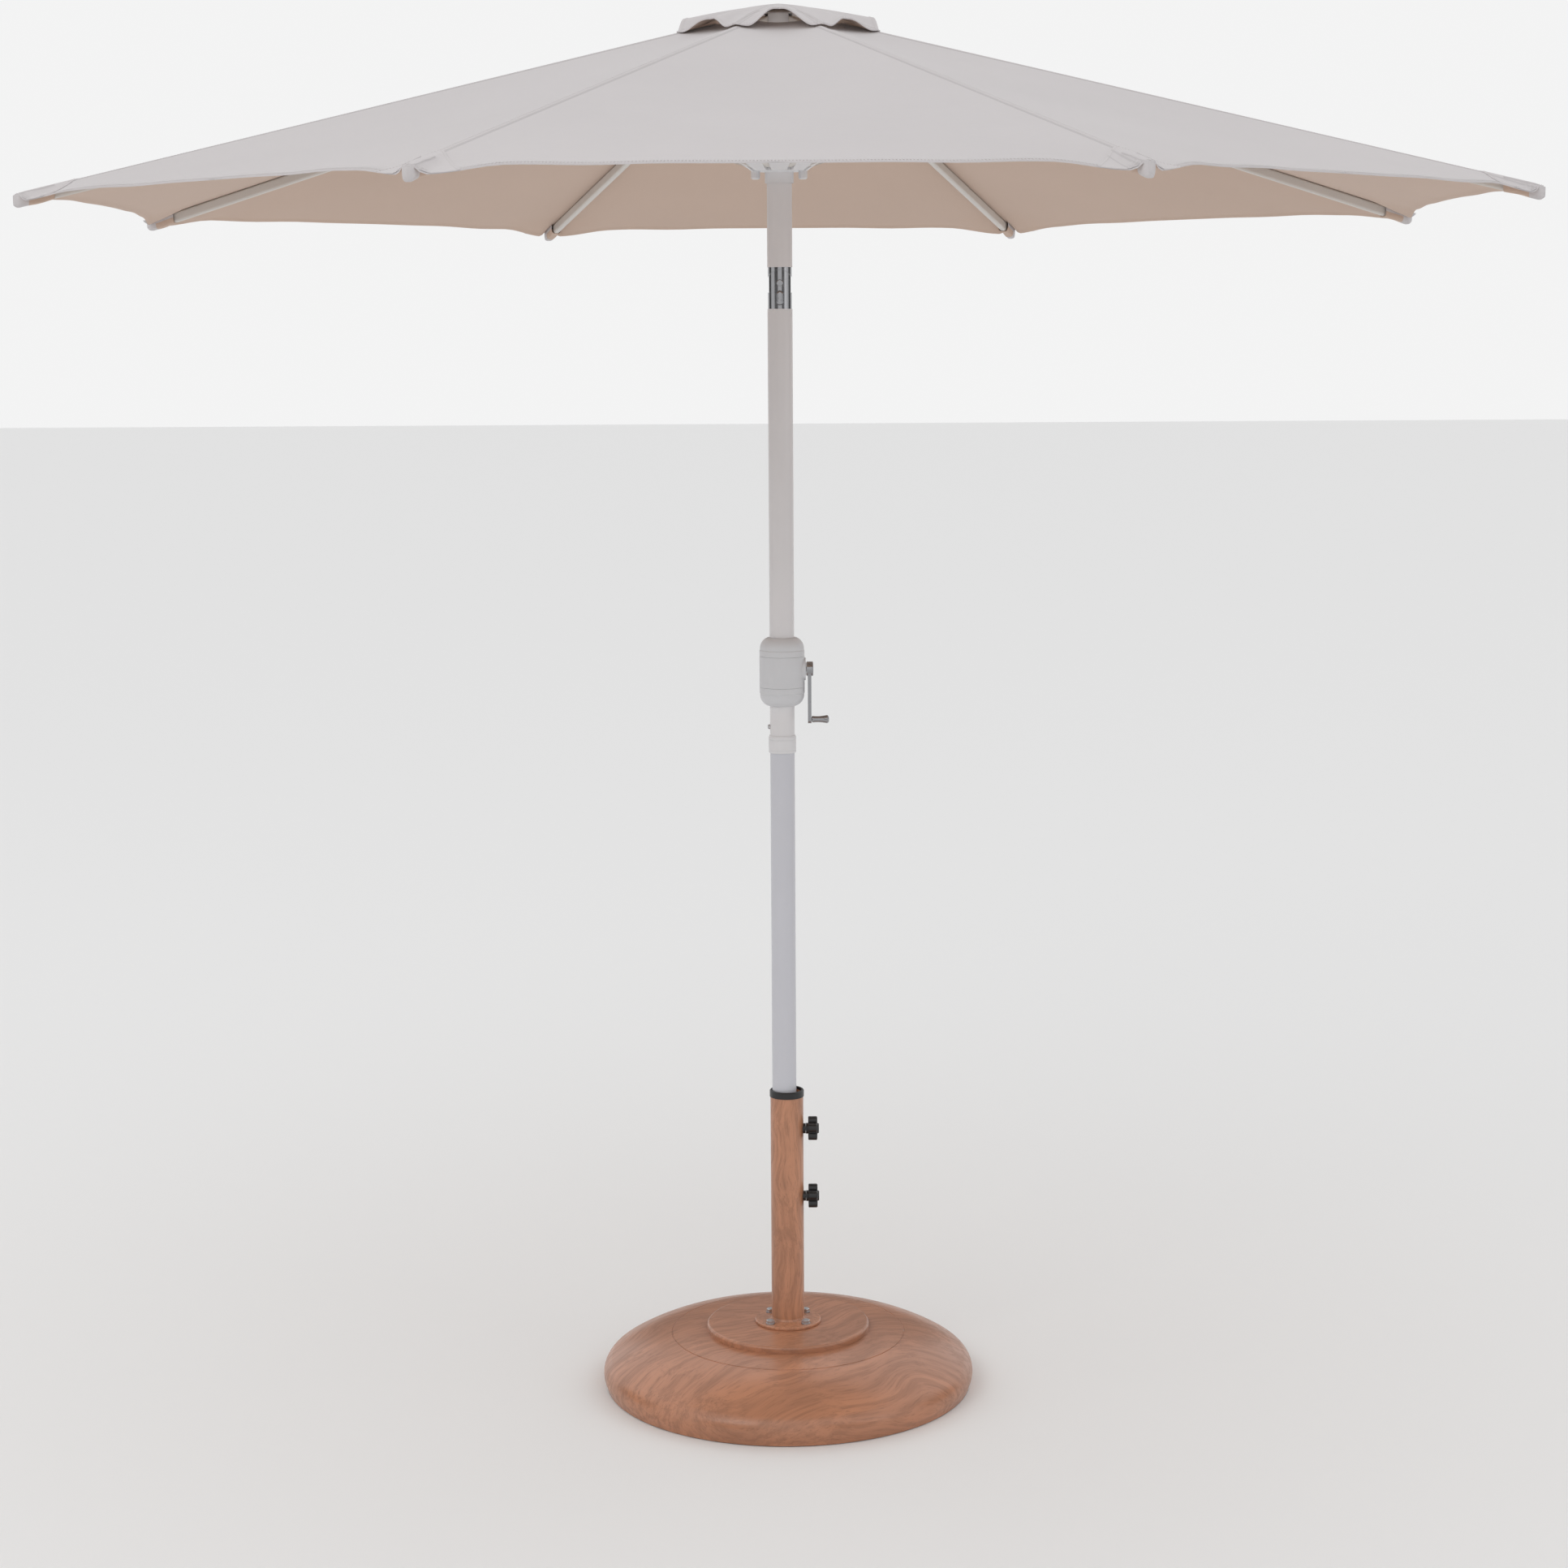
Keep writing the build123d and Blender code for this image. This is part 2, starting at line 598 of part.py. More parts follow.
with BuildPart() as crank_shaft:
    with BuildSketch(across_x(-SPOOL_HALF, 0, CRANK_Z)):
        Circle(SPOOL_FLANGE_R)
    extrude(amount=2 * SPOOL_HALF)
    with BuildSketch(across_x(-SPOOL_HALF + 1.5, 0, CRANK_Z)):
        Circle(SPOOL_FLANGE_R)
        Circle(SPOOL_R, mode=Mode.SUBTRACT)
    extrude(amount=2 * SPOOL_HALF - 3, mode=Mode.SUBTRACT)
    with BuildSketch(across_x(SHAFT_X[0], 0, CRANK_Z)):
        Circle(SHAFT_R)
    extrude(amount=SHAFT_X[1] - SHAFT_X[0])
crank_shaft.part.label = "crank_shaft"
export_step(crank_shaft.part, "parts/crank_shaft.step")

with BuildPart() as crank_arm:
    with BuildSketch(across_x(ARM_HUB_X[0], 0, CRANK_Z)):
        Circle(ARM_HUB_R)
    extrude(amount=ARM_HUB_X[1] - ARM_HUB_X[0])
    fillet(crank_arm.faces().sort_by(Axis.X)[-1].edges(), radius=2)
    with BuildSketch(across_x(ARM_X, 0, CRANK_Z)):
        Circle(ARM_ROOT_R)
        with Locations((0, -CRANK_THROW)):
            Circle(ARM_END_R)
        make_hull()
    extrude(amount=ARM_T)
    with BuildSketch(across_x(ARM_X, 0, GRIP_Z)):
        Circle(GRIP_PIN_R)
    extrude(amount=GRIP_X[1] - 3 - ARM_X)
    with BuildSketch(across_x(ARM_HUB_X[0], 0, CRANK_Z)):
        Circle(SHAFT_R)
    extrude(amount=SHAFT_X[1] - ARM_HUB_X[0], mode=Mode.SUBTRACT)
crank_arm.part.label = "crank_arm"
export_step(crank_arm.part, "parts/crank_arm.step")

with BuildPart() as crank_grip:
    with BuildSketch(across_y(0, 0, GRIP_Z)):
        inner, outer = GRIP_X
        bore = GRIP_PIN_R + RUNNING
        with BuildLine():
            Polyline((inner, bore), (inner, 5.0), (inner + 2, 5.6))
            ThreePointArc((inner + 2, 5.6), (inner + 11, 5.2), (outer - 4, 7.0))
            ThreePointArc((outer - 4, 7.0), (outer - 1.0, 5.6), (outer, 2.4))
            Polyline((outer, 2.4), (outer, 0), (outer - 2.4, 0), (outer - 2.4, bore), (inner, bore))
        make_face()
    revolve(axis=Axis((0, 0, GRIP_Z), (1, 0, 0)))
crank_grip.part.label = "crank_grip"
export_step(crank_grip.part, "parts/crank_grip.step")

# ---------------------------------------------------------------- tilt joint
with BuildPart() as tilt_lower_joint:
    with BuildSketch(Plane.XY.offset(MID_POLE_TOP_Z)):
        Circle(TILT_R)
    extrude(amount=TILT_Z + KNUCKLE_R - MID_POLE_TOP_Z)
    with BuildSketch(across_y(0, TILT_R, TILT_Z)):
        Rectangle(3 * TILT_R, KNUCKLE_R + 1, align=(Align.CENTER, Align.MIN))
        Circle(KNUCKLE_R, mode=Mode.SUBTRACT)
    extrude(amount=2 * TILT_R, mode=Mode.SUBTRACT)
    with BuildSketch(across_y(0, FORK_HALF, TILT_Z)):
        Rectangle(3 * TILT_R, TONGUE_END_R + 1, align=(Align.CENTER, Align.MAX))
        Rectangle(3 * TILT_R, KNUCKLE_R + 1, align=(Align.CENTER, Align.MIN))
    extrude(amount=2 * FORK_HALF, mode=Mode.SUBTRACT)
    with BuildSketch(Plane.XY.offset(MID_POLE_TOP_Z)):
        Circle(POLE_BORE_R - 0.1)
    extrude(amount=-JOINT_PLUG)
    with BuildSketch(Plane.XY.offset(MID_POLE_TOP_Z - JOINT_PLUG)):
        Circle(POLE_BORE_R - 2.5)
    extrude(amount=JOINT_PLUG - 6, mode=Mode.SUBTRACT)
    with BuildSketch(across_y(0, TILT_R, TILT_Z)):
        Circle(TILT_PIN_R)
    extrude(amount=2 * TILT_R, mode=Mode.SUBTRACT)
    with BuildSketch(across_y(0, -FORK_HALF + 2.4, BUTTON_Z)):
        SlotOverall(BUTTON_TALL + 0.8, BUTTON_WIDE + 0.8, rotation=90)
    extrude(amount=TILT_R, mode=Mode.SUBTRACT)
    with BuildSketch(across_y(0, 6, BUTTON_Z)):
        Circle(4.2)
    extrude(amount=12, mode=Mode.SUBTRACT)
tilt_lower_joint.part.label = "tilt_lower_joint"
export_step(tilt_lower_joint.part, "parts/tilt_lower_joint.step")

with BuildPart() as tilt_upper_joint:
    with BuildSketch(Plane.XY.offset(TILT_Z + 8)):
        Circle(TILT_R)
    extrude(amount=UPPER_POLE_Z - TILT_Z - 8)
    with BuildSketch(across_y(0, TILT_R, TILT_Z)):
        Circle(SOCKET_R)
    extrude(amount=2 * TILT_R, mode=Mode.SUBTRACT)
    with BuildSketch(across_y(0, TONGUE_HALF, TILT_Z)):
        Circle(TONGUE_END_R)
        Rectangle(2 * TONGUE_END_R, UPPER_POLE_Z - TILT_Z, align=(Align.CENTER, Align.MIN))
    extrude(amount=2 * TONGUE_HALF)
    with BuildSketch(Plane.XY.offset(UPPER_POLE_Z)):
        Circle(POLE_BORE_R - 0.1)
    extrude(amount=JOINT_PLUG)
    with BuildSketch(Plane.XY.offset(UPPER_POLE_Z + 6)):
        Circle(POLE_BORE_R - 2.5)
    extrude(amount=JOINT_PLUG - 6, mode=Mode.SUBTRACT)
    with BuildSketch(across_y(0, TILT_R, TILT_Z)):
        Circle(TILT_PIN_R + RUNNING)
    extrude(amount=2 * TILT_R, mode=Mode.SUBTRACT)
tilt_upper_joint.part.label = "tilt_upper_joint"
export_step(tilt_upper_joint.part, "parts/tilt_upper_joint.step")

with BuildPart() as tilt_pin:
    with BuildSketch(across_y(0, TILT_R, TILT_Z)):
        Circle(TILT_PIN_R)
    extrude(amount=2 * TILT_R)
    for face_y, direction in ((TILT_R, -1), (-TILT_R, 1)):
        with BuildSketch(across_y(0, face_y, TILT_Z)):
            Circle(TILT_HEAD_R)
        extrude(amount=TILT_HEAD_H * direction)
    fillet(tilt_pin.faces().sort_by(Axis.Y)[0].edges(), radius=1)
    fillet(tilt_pin.faces().sort_by(Axis.Y)[-1].edges(), radius=1)
tilt_pin.part.label = "tilt_pin"
export_step(tilt_pin.part, "parts/tilt_pin.step")

with BuildPart() as tilt_button:
    with BuildSketch(across_y(0, BUTTON_Y[1], BUTTON_Z)):
        SlotOverall(BUTTON_TALL, BUTTON_WIDE, rotation=90)
    extrude(amount=BUTTON_Y[1] - BUTTON_Y[0])
    fillet(tilt_button.faces().sort_by(Axis.Y)[0].edges(), radius=2.6)
tilt_button.part.label = "tilt_button"
export_step(tilt_button.part, "parts/tilt_button.step")

with BuildPart() as tilt_spring:
    for turn in range(SPRING_RINGS):
        with BuildSketch(across_y(0, SPRING_FROM_Y + turn * SPRING_PITCH, BUTTON_Z)):
            Circle(SPRING_R[1])
            Circle(SPRING_R[0], mode=Mode.SUBTRACT)
        extrude(amount=-1.0)
tilt_spring.part.label = "tilt_spring"
export_step(tilt_spring.part, "parts/tilt_spring.step")

# ---------------------------------------------------------------- upper pole, hub and pulley
with BuildPart() as upper_pole:
    with BuildSketch(Plane.XY.offset(UPPER_POLE_Z)):
        Circle(POLE_R)
        Circle(POLE_BORE_R, mode=Mode.SUBTRACT)
    extrude(amount=UPPER_POLE_TOP_Z - UPPER_POLE_Z)
upper_pole.part.label = "upper_pole"
export_step(upper_pole.part, "parts/upper_pole.step")

HUB_LOW_Z = HUB_Z - HUB_HALF_T
HUB_TOP_Z = HUB_Z + HUB_HALF_T
POCKET_Z = PULLEY_Z - PULLEY_R - 0.7
with BuildPart() as top_hub:
    with BuildSketch(Plane.XZ):
        with BuildLine():
            Polyline(
                (POLE_R + 0.1, UPPER_POLE_TOP_Z - 16),
                (POLE_R + 6, UPPER_POLE_TOP_Z - 16),
                (POLE_R + 6, HUB_LOW_Z - 2),
                (POLE_R + 9, HUB_LOW_Z),
                (HUB_R, HUB_LOW_Z),
                (HUB_R, HUB_TOP_Z),
                (0, HUB_TOP_Z),
                (0, UPPER_POLE_TOP_Z + 0.3),
                (POLE_R + 0.1, UPPER_POLE_TOP_Z + 0.3),
                close=True,
            )
        make_face()
    revolve(axis=Axis.Z)
    with BuildSketch(Plane.XY.offset(HUB_TOP_Z + 1)):
        with PolarLocations(PIVOT_R - 7.8, RIBS, start_angle=FIRST_RIB_AT):
            Rectangle(HUB_R, HUB_SLOT, align=(Align.MIN, Align.CENTER))
    extrude(amount=-2 * HUB_HALF_T - 2, mode=Mode.SUBTRACT)
    with BuildSketch(across_y(PIVOT_R, 0, HUB_Z)):
        Circle(WIRE_R)
        Rectangle(2 * WIRE_R, 2 * HUB_HALF_T, align=(Align.CENTER, Align.MIN))
    revolve(axis=Axis.Z, mode=Mode.SUBTRACT)
    with BuildSketch(Plane.XY.offset(HUB_TOP_Z)):
        with Locations((PULLEY_X, 0)):
            Rectangle(2 * PULLEY_R + 2, 10)
    extrude(amount=POCKET_Z - HUB_TOP_Z, mode=Mode.SUBTRACT)
    with BuildSketch(Plane.XY.offset(HUB_TOP_Z)):
        with Locations((PULLEY_X - PULLEY_R, 0), (PULLEY_X + PULLEY_R, 0)):
            Circle(2.5)
    extrude(amount=-60, mode=Mode.SUBTRACT)
    with BuildSketch(across_y(PULLEY_X, PULLEY_PIN_HALF, PULLEY_Z)):
        Circle(PULLEY_PIN_R)
    extrude(amount=2 * PULLEY_PIN_HALF, mode=Mode.SUBTRACT)
top_hub.part.label = "top_hub"
export_step(top_hub.part, "parts/top_hub.step")

with BuildPart() as hub_ring_wire:
    with BuildSketch(across_y(PIVOT_R, 0, HUB_Z)):
        Circle(WIRE_R)
    revolve(axis=Axis.Z)
hub_ring_wire.part.label = "hub_ring_wire"
export_step(hub_ring_wire.part, "parts/hub_ring_wire.step")

with BuildPart() as hub_cap:
    with BuildSketch(Plane.XZ):
        with BuildLine():
            rim_z, crown_z = HUB_CAP_Z
            Polyline((0, crown_z), (0, HUB_TOP_Z + 0.2), (HUB_CAP_R, HUB_TOP_Z + 0.2), (HUB_CAP_R, rim_z))
            TangentArc((0, crown_z), (HUB_CAP_R, rim_z), tangent=(1, 0))
        make_face()
    revolve(axis=Axis.Z)
hub_cap.part.label = "hub_cap"
export_step(hub_cap.part, "parts/hub_cap.step")

with BuildPart() as pulley:
    with BuildSketch(across_y(PULLEY_X, 4.6, PULLEY_Z)):
        Circle(PULLEY_R)
        Circle(PULLEY_PIN_R + RUNNING, mode=Mode.SUBTRACT)
    extrude(amount=9.2)
    with BuildSketch(Plane(origin=(PULLEY_X, 0, PULLEY_Z + PULLEY_R), x_dir=(0, 1, 0), z_dir=(1, 0, 0))):
        Circle(2.6)
    revolve(axis=Axis((PULLEY_X, 0, PULLEY_Z), (0, 1, 0)), mode=Mode.SUBTRACT)
pulley.part.label = "pulley"
export_step(pulley.part, "parts/pulley.step")

with BuildPart() as pulley_pin:
    with BuildSketch(across_y(PULLEY_X, PULLEY_PIN_HALF, PULLEY_Z)):
        Circle(PULLEY_PIN_R)
    extrude(amount=2 * PULLEY_PIN_HALF)
pulley_pin.part.label = "pulley_pin"
export_step(pulley_pin.part, "parts/pulley_pin.step")

# ---------------------------------------------------------------- runner
with BuildPart() as runner:
    with BuildSketch(Plane.XZ):
        with BuildLine():
            Polyline(
                (RUNNER_BORE_R, RUNNER_NECK_Z),
                (RUNNER_NECK_R, RUNNER_NECK_Z),
                (RUNNER_NECK_R, RUNNER_DISH_Z - 2),
                (RUNNER_NECK_R + 2, RUNNER_DISH_Z),
                *RUNNER_EDGE,
                (RUNNER_NECK_R + 6, RUNNER_TOP_Z),
                (RUNNER_NECK_R + 4, SLEEVE_TOP_Z),
                (RUNNER_BORE_R, SLEEVE_TOP_Z),
                close=True,
            )
        make_face()
    revolve(axis=Axis.Z)
    with BuildSketch(Plane.XY.offset(RUNNER_DISH_Z - 5)):
        with PolarLocations(RUNNER_SLOT_FROM, RIBS, start_angle=FIRST_RIB_AT):
            Rectangle(PIVOT_R, RUNNER_SLOT, align=(Align.MIN, Align.CENTER))
    extrude(amount=30, mode=Mode.SUBTRACT)
    with BuildSketch(across_y(PIVOT_R, 0, RUNNER_Z)):
        Circle(WIRE_R)
    revolve(axis=Axis.Z, mode=Mode.SUBTRACT)
runner.part.label = "runner"
export_step(runner.part, "parts/runner.step")

# The pivot wire is cut at the slots, where the stretcher ends pass through the runner.
with BuildPart() as runner_ring_wire:
    with BuildSketch(across_y(PIVOT_R, 0, RUNNER_Z)):
        Circle(WIRE_R)
    revolve(axis=Axis.Z)
    with BuildSketch(Plane.XY.offset(RUNNER_Z - 5)):
        with PolarLocations(RUNNER_SLOT_FROM, RIBS, start_angle=FIRST_RIB_AT):
            Rectangle(PIVOT_R, RUNNER_SLOT, align=(Align.MIN, Align.CENTER))
    extrude(amount=10, mode=Mode.SUBTRACT)
runner_ring_wire.part.label = "runner_ring_wire"
export_step(runner_ring_wire.part, "parts/runner_ring_wire.step")

with BuildPart() as runner_plugs:
    with BuildSketch(Plane.XY.offset(RUNNER_DISH_Z)):
        with PolarLocations(PLUG_AT, 2):
            Circle(PLUG_R)
    extrude(amount=-PLUG_LONG)
    fillet(runner_plugs.faces().sort_by(Axis.Z)[:2].edges(), radius=3.5)
runner_plugs.part.label = "runner_plugs"
export_step(runner_plugs.part, "parts/runner_plugs.step")

# ---------------------------------------------------------------- ribs
tube_start = Plane(origin=RIB_SIDE.from_local_coords((TUBE_FROM, 0, 0)), x_dir=(0, 1, 0), z_dir=RIB_U)
tip_start = Plane(origin=RIB_SIDE.from_local_coords((RIB_LENGTH, 0, 0)), x_dir=(0, 1, 0), z_dir=RIB_U)

with BuildPart() as rib:
    with BuildSketch(tube_start):
        RectangleRounded(RIB_WIDE, RIB_TALL, 4)
        RectangleRounded(RIB_WIDE - 2 * RIB_WALL, RIB_TALL - 2 * RIB_WALL, 3.2, mode=Mode.SUBTRACT)
    extrude(amount=RIB_LENGTH - TUBE_FROM)
    with BuildSketch(tube_start):
        RectangleRounded(RIB_WIDE, RIB_TALL, 4)
    extrude(amount=24)
    with BuildSketch(RIB_SIDE.offset(-TONGUE_T / 2)):
        Circle(PIVOT_TONGUE_R)
        Rectangle(TUBE_FROM + 2, 2 * PIVOT_TONGUE_R, align=(Align.MIN, Align.CENTER))
        Circle(WIRE_R + WIRE_PLAY, mode=Mode.SUBTRACT)
    extrude(amount=TONGUE_T)
    with BuildSketch(RIB_SIDE.offset(-LUG_T / 2)):
        with Locations((ELBOW_ALONG, -ELBOW_DROP)):
            Circle(LUG_R)
        with Locations((ELBOW_ALONG, -RIB_TALL / 2 + 0.4)):
            Rectangle(30, 1)
        make_hull()
    extrude(amount=LUG_T)
    with BuildSketch(RIB_SIDE.offset(-RIVET_HALF)):
        with Locations((ELBOW_ALONG, -ELBOW_DROP)):
            Circle(RIVET_R)
    extrude(amount=2 * RIVET_HALF)
    for head_from in (-RIVET_HALF, RIVET_HALF - RIVET_HEAD_T):
        with BuildSketch(RIB_SIDE.offset(head_from)):
            with Locations((ELBOW_ALONG, -ELBOW_DROP)):
                Circle(RIVET_HEAD_R)
        extrude(amount=RIVET_HEAD_T)

with BuildPart() as rib_tip:
    with BuildSketch(tip_start):
        RectangleRounded(RIB_WIDE, RIB_TALL, 4)
    extrude(amount=CAP_T)
    fillet(rib_tip.faces().sort_by(Axis((0, 0, 0), RIB_U))[-1].edges(), radius=1.8)

for number in range(RIBS):
    azimuth = FIRST_RIB_AT + number * 360 / RIBS
    with BuildPart() as turned_rib:
        add(rib.part.rotate(Axis.Z, azimuth))
        add(rib_tip.part.rotate(Axis.Z, azimuth))
    turned_rib.part.label = f"rib_{number + 1}"
    export_step(turned_rib.part, f"parts/rib_{number + 1}.step")

# ---------------------------------------------------------------- stretchers
with BuildPart() as stretcher:
    with BuildSketch(ARM_SIDE.offset(-STRETCHER_WIDE / 2)):
        with Locations((ARM / 2, 0)):
            SlotOverall(ARM + STRETCHER_TALL, STRETCHER_TALL)
    extrude(amount=STRETCHER_WIDE)
    hollow_plane = Plane(origin=ARM_SIDE.from_local_coords((ARM, 0, 0)), x_dir=(0, 1, 0), z_dir=ARM_U)
    with BuildSketch(hollow_plane):
        Rectangle(STRETCHER_WIDE - 2 * STRETCHER_WALL, STRETCHER_TALL - 2 * STRETCHER_WALL)
    extrude(amount=20 - ARM, mode=Mode.SUBTRACT)
    with BuildSketch(ARM_SIDE.offset(-FORK_GAP / 2)):
        with Locations((ARM - FORK_LONG, 0)):
            Rectangle(60, 2 * STRETCHER_TALL, align=(Align.MIN, Align.CENTER))
    extrude(amount=FORK_GAP, mode=Mode.SUBTRACT)
    with BuildSketch(ARM_SIDE.offset(-STRETCHER_WIDE)):
        with Locations((ARM, 0)):
            Circle(RIVET_R + RUNNING)
    extrude(amount=2 * STRETCHER_WIDE, mode=Mode.SUBTRACT)

for number in range(RIBS):
    azimuth = FIRST_RIB_AT + number * 360 / RIBS
    with BuildPart() as turned_stretcher:
        add(stretcher.part.rotate(Axis.Z, azimuth))
    turned_stretcher.part.label = f"stretcher_{number + 1}"
    export_step(turned_stretcher.part, f"parts/stretcher_{number + 1}.step")

# ---------------------------------------------------------------- fabric
SLOPE = tan(radians(RIB_SLOPE))
RIB_TOP = RIB_TALL / 2 / cos(radians(RIB_SLOPE))  # rib's top above its centreline, upright


def fabric_z(radius):
    """Height of the outside of the cloth over a rib, at a radius."""
    return HUB_Z - (radius - PIVOT_R) * SLOPE + RIB_TOP + FABRIC_LIFT + FABRIC_T


with BuildPart() as canopy:
    for radius in (CANOPY_R, VENT_HOLE_R):
        with BuildSketch(Plane.XY.offset(fabric_z(radius))):
            RegularPolygon(radius, RIBS, rotation=FIRST_RIB_AT)
    loft()
    for radius in (CANOPY_R, VENT_HOLE_R):
        with BuildSketch(Plane.XY.offset(fabric_z(radius))):
            RegularPolygon(radius - FABRIC_T / SLOPE, RIBS, rotation=FIRST_RIB_AT)
    loft(mode=Mode.SUBTRACT)
canopy.part.label = "canopy"
export_step(canopy.part, "parts/canopy.step")

with BuildPart() as vent_canopy:
    for drop, mode in ((0, Mode.ADD), (FABRIC_T, Mode.SUBTRACT)):
        for radius, height in ((VENT_R, VENT_HEM_Z), (VENT_TOP_R, VENT_TOP_Z)):
            with BuildSketch(Plane.XY.offset(height - drop)):
                RegularPolygon(radius, RIBS, rotation=FIRST_RIB_AT)
        loft(mode=mode)
vent_canopy.part.label = "vent_canopy"
export_step(vent_canopy.part, "parts/vent_canopy.step")
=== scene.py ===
"""The visual model of a crank-lift patio umbrella in a weighted base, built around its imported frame.

Lengths are metres, +Z is up, and the frame's origin is on the floor under the canopy's middle.
"""

from __future__ import annotations

import functools
import logging
import math
import random
from dataclasses import dataclass, field
from enum import Enum
from typing import Callable, Iterable, Sequence

import bpy
from mathutils import Matrix, Vector

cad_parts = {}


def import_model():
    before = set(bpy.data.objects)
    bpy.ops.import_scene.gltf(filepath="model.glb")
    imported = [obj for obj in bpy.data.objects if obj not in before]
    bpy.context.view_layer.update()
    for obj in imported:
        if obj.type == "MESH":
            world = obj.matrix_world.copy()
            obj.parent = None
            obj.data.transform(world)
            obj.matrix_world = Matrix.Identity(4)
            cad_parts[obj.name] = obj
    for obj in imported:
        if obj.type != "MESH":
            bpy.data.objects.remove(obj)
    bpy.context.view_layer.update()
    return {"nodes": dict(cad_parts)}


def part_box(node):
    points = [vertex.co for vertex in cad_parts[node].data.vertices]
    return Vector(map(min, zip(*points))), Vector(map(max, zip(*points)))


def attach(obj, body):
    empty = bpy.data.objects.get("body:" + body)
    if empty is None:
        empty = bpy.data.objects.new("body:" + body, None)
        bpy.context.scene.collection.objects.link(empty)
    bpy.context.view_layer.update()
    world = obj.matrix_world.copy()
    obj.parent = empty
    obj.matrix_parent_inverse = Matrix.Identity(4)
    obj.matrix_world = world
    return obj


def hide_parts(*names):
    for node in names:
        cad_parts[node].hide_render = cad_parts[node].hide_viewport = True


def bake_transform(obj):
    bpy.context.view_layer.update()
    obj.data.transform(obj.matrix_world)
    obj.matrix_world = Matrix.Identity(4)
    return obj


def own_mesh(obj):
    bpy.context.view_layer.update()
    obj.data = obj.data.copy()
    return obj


LOG = logging.getLogger("umbrella")
Point = tuple[float, float, float]
Colour = tuple[float, float, float]
Knot = tuple[Point, Point, tuple[float, float]]  # a cloth's outer place, inner place and UV
Piece = bpy.types.Object
Node, Socket, Tree = bpy.types.Node, bpy.types.NodeSocket, bpy.types.NodeTree
Sockets = bpy.types.bpy_prop_collection

RIBS = 8
FIRST_RIB = math.radians(22.5)
HALF_GORE = math.pi / RIBS
MIX_INPUTS = (0, 6, 7)  # a colour Mix node's factor, first and second colour
MIX_RESULT = 2


class Side(Enum):
    """The two faces of a sheet of cloth."""

    OUTER = 0
    INNER = 1


# ------------------------------------------------------------------ shader effects
class Nodes:
    """A short way to place and join shader nodes in one tree."""

    def __init__(self, tree: Tree) -> None:
        """Keep the tree that the nodes go in."""
        self.tree = tree

    def add(self, kind: str, **settings: object) -> Node:
        """Place one node.

        Args:
            kind: the node's type name.
            settings: its properties, by name.

        Returns:
            The new node.
        """
        node = self.tree.nodes.new(kind)
        for name, value in settings.items():
            setattr(node, name, value)
        return node

    def join(self, source: Socket, target: Socket) -> None:
        """Link an output to an input."""
        self.tree.links.new(source, target)

    def put(self, value: object, socket: Socket) -> None:
        """Link an output socket to an input, or give the input a plain value.

        Args:
            value: the value.
        """
        if isinstance(value, Socket):
            self.join(value, socket)
        else:
            socket.default_value = value

    def give(self, node: Node, **values: object) -> Node:
        """Fill a node's inputs.

        Args:
            node: the node.
            values: sockets or plain values, by input name with spaces as underscores.

        Returns:
            The same node.
        """
        for name, value in values.items():
            self.put(value, node.inputs[name.replace("_", " ")])
        return node

    def math(self, operation: str, first: object, second: object = 0.0) -> Socket:
        """Place a Math node.

        Args:
            operation: its operation.
            first: a number or an output socket.
            second: a number or an output socket.

        Returns:
            Its result.
        """
        node = self.add("ShaderNodeMath", operation=operation)
        for socket, value in zip(node.inputs, (first, second)):
            self.put(value, socket)
        return node.outputs[0]

    def times(self, value: object, share: object) -> Socket:
        """Multiply a value by a share."""
        return self.math("MULTIPLY", value, share)

    def noise(self, vector: Socket, scale: object, detail: float = 3.0,
              roughness: float = 0.55) -> Socket:
        """Place a Noise Texture on a vector and return its value.

        Args:
            vector: the coordinates that it reads.
            scale: its scale.
            detail: its detail.
            roughness: its roughness.

        Returns:
            The result.
        """
        node = self.give(self.add("ShaderNodeTexNoise"), Vector=vector, Scale=scale, Detail=detail,
                         Roughness=roughness)
        return node.outputs["Fac"]

    def mix(self, factor: object, low: object, high: object) -> Socket:
        """Place a colour Mix node.

        Args:
            factor: a number or an output socket.
            low: the colour, or socket, at 0.
            high: the colour, or socket, at 1.

        Returns:
            The mixed colour.
        """
        node = self.add("ShaderNodeMix", data_type="RGBA")
        for place, value in zip(MIX_INPUTS, (factor, low, high)):
            self.put((*value, 1.0) if isinstance(value, tuple) else value, node.inputs[place])
        return node.outputs[MIX_RESULT]

    def ramp(self, value: object, low: float, high: float) -> Socket:
        """Stretch a value so that low becomes 0 and high becomes 1, with soft ends."""
        node = self.add("ShaderNodeMapRange", interpolation_type="SMOOTHSTEP")
        return self.give(node, Value=value, From_Min=low, From_Max=high).outputs["Result"]


